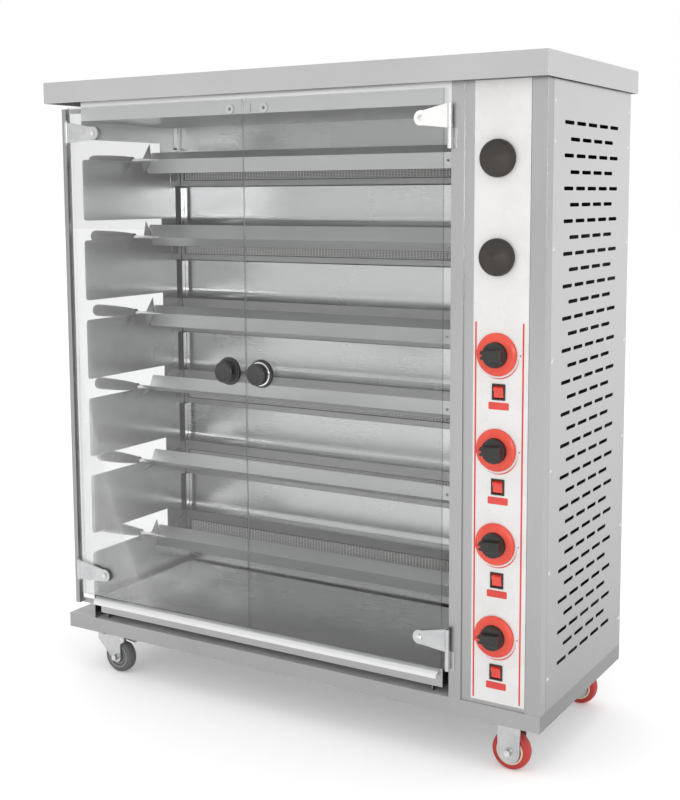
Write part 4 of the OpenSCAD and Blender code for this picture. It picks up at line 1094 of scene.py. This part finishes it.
# %% Catch magnets and seam
catch_low, catch_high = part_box("door_catches")
catch_z = middle_of("door_catches")[2]
for number, x in enumerate((catch_low[0] + 0.009, catch_high[0] - 0.009), 1):
    magnet = turned(f"catch_magnet_{number}",
                    [(0, 0.003), (0.0012, 0.003), (0.0015, 0.0024)], 24)
    put(magnet, (x, catch_high[1] - 0.002, catch_z), FACING_FRONT)
    wear(magnet, "cabinet", rim_grey)
rail_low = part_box("header_rail")[0]
seam = block("header_seam", (-0.0261, rail_low[1] - 0.0001, rail_low[2] + 0.003),
             (-0.025, rail_low[1] + 0.0004, rail_low[2] + 0.02))
wear(seam, "cabinet", bezel_black)
print("catches at z =", round(catch_z, 4))

# %% [markdown]
# ## Caster wheels
#
# The swivel casters have grey tyres on grey rims with raised rings. The fixed ones have
# red tyres on cream rims. A wheel is lathe work, so tyre and rim are turned pieces whose
# profiles are read from one face to the other. The rim's steps catch thin rings of light.

# %% Tyres and rims
def mirrored(half_profile):
    """Completes a profile that is given from the outer face to the middle."""
    return half_profile + [(-height, radius) for height, radius in reversed(half_profile)]


def caster_wheel(node, body, tyre_finish, rim_finish):
    low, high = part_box(node)
    half, radius = (high[1] - low[1]) / 2, (high[2] - low[2]) / 2
    centre = middle_of(node)
    tyre = turned(f"{node}_tyre", mirrored([
        (-half + 0.0034, 0.0262), (-half + 0.0022, 0.027),
        (-half + 0.002, radius - 0.006), (-half + 0.003, radius - 0.003),
        (-half + 0.0055, radius - 0.001), (-0.004, radius)]), 72)
    rim = turned(f"{node}_rim", mirrored([
        (-half + 0.0003, 0.0066), (-half + 0.0003, 0.0095), (-half + 0.0048, 0.0108),
        (-half + 0.0052, 0.015), (-half + 0.0032, 0.0156), (-half + 0.0032, 0.018),
        (-half + 0.0054, 0.0187), (-half + 0.0054, 0.0222), (-half + 0.0016, 0.0232),
        (-half + 0.0014, 0.0262), (-half + 0.0024, 0.0268)]), 72)
    mount(((tyre, tyre_finish), (rim, rim_finish)), centre, body, node)
    return centre


for end in ("front", "rear"):
    grey_centre = caster_wheel(f"wheel_{end}_left", f"{end}_left_roller", rubber_grey,
                               rim_grey)
    red_centre = caster_wheel(f"wheel_{end}_right", f"{end}_right_roller", rubber_red,
                              rim_cream)
    for name, body, centre in (("left", f"{end}_swivel", grey_centre),
                               ("right", "cabinet", red_centre)):
        fork_low, fork_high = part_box(f"{end}_fork")
        half = (fork_high[1] - fork_low[1]) / 2
        reach = half - (0.0002 if name == "left" else 0.0006)
        nut = turned(f"{end}_{name}_nut", [(0, 0.0066), (0.0034, 0.0066), (0.004, 0.0058)], 6)
        tip = turned("tip", [(0.003, 0.0032), (0.0052, 0.0032), (0.0057, 0.0026)], 16)
        nut = joined(f"{end}_{name}_nut", [nut, tip])
        put(nut, (centre[0], centre[1] - reach + 0.003, centre[2]), FACING_FRONT)
        wear(nut, body, zinc_bright)
print("wheels at", [round(v, 3) for v in red_centre])

# %% [markdown]
# ## Floor, backdrop and light
#
# The photo was cut out on pure white. Here a white world lights everything evenly, as a
# tent of cloth would, and a white floor runs out to the horizon and melts into it. The floor
# is lifted a little for the camera and for mirrors only, and it keeps its shadow. Large
# soft lamps add a little direction, so that folds and knobs don't look flat. Steel would
# mirror them as hard bright panels, so glossy rays pass them by. One small lamp behind the
# camera does show in the steel: the corner of two bright walls sends its light straight back,
# which gives the soft bright patch on the upper reflector beside the left wall.

# %% Floor
FLOOR_LIFT = 0.17
clear_selection()
bpy.ops.mesh.primitive_plane_add(size=60, location=(0, 0, 0))
floor = bpy.context.object
floor.name = "studio_floor"
floor_paint, nodes, shader = new_material("floor_white")
WHITE = (1, 1, 1, 1)
fill(shader, {"Base Color": (0.93, 0.93, 0.93, 1), "Roughness": 0.9,
              "Specular IOR Level": 0.1, "Emission Color": WHITE})
ray = nodes.new("ShaderNodeLightPath")
seen = ray.outputs["Is Camera Ray"]
for kind in ("Is Glossy Ray", "Is Transmission Ray"):
    seen = arithmetic(nodes, "MAXIMUM", seen, ray.outputs[kind])
link(arithmetic(nodes, "MULTIPLY", seen, FLOOR_LIFT), shader.inputs["Emission Strength"])
floor.data.materials.append(floor_paint)

# %% World and lamps
world = bpy.data.worlds.new("studio")
bpy.context.scene.world = world
world.use_nodes = True
fill(world.node_tree.nodes["Background"], {"Color": WHITE, "Strength": 1.0})


def soft_lamp(name, place, aim, size, power, in_steel=False):
    data = bpy.data.lights.new(name, "AREA")
    data.shape = "RECTANGLE"
    data.size, data.size_y = size
    data.energy = power
    lamp = bpy.data.objects.new(name, data)
    lamp.location = place
    lamp.rotation_euler = (Vector(aim) - Vector(place)).to_track_quat("-Z", "Y").to_euler()
    lamp.visible_glossy = in_steel
    bpy.context.scene.collection.objects.link(lamp)
    return lamp


soft_lamp("front_softbox", (-1.2, -4.6, 1.9), (0, 0, 0.7), (4.0, 3.0), 16)
soft_lamp("right_softbox", (4.4, -1.0, 2.2), (0.3, 0, 0.7), (3.0, 3.0), 12)
soft_lamp("top_softbox", (0.2, -0.6, 4.4), (0, 0, 0.6), (3.4, 3.4), 12)
soft_lamp("fill_by_camera", (2.0, -3.27, 1.24), (-0.47, 0.13, 1.14), (0.5, 0.3), 19,
          in_steel=True)
scene = bpy.context.scene
scene.view_settings.view_transform = "Standard"
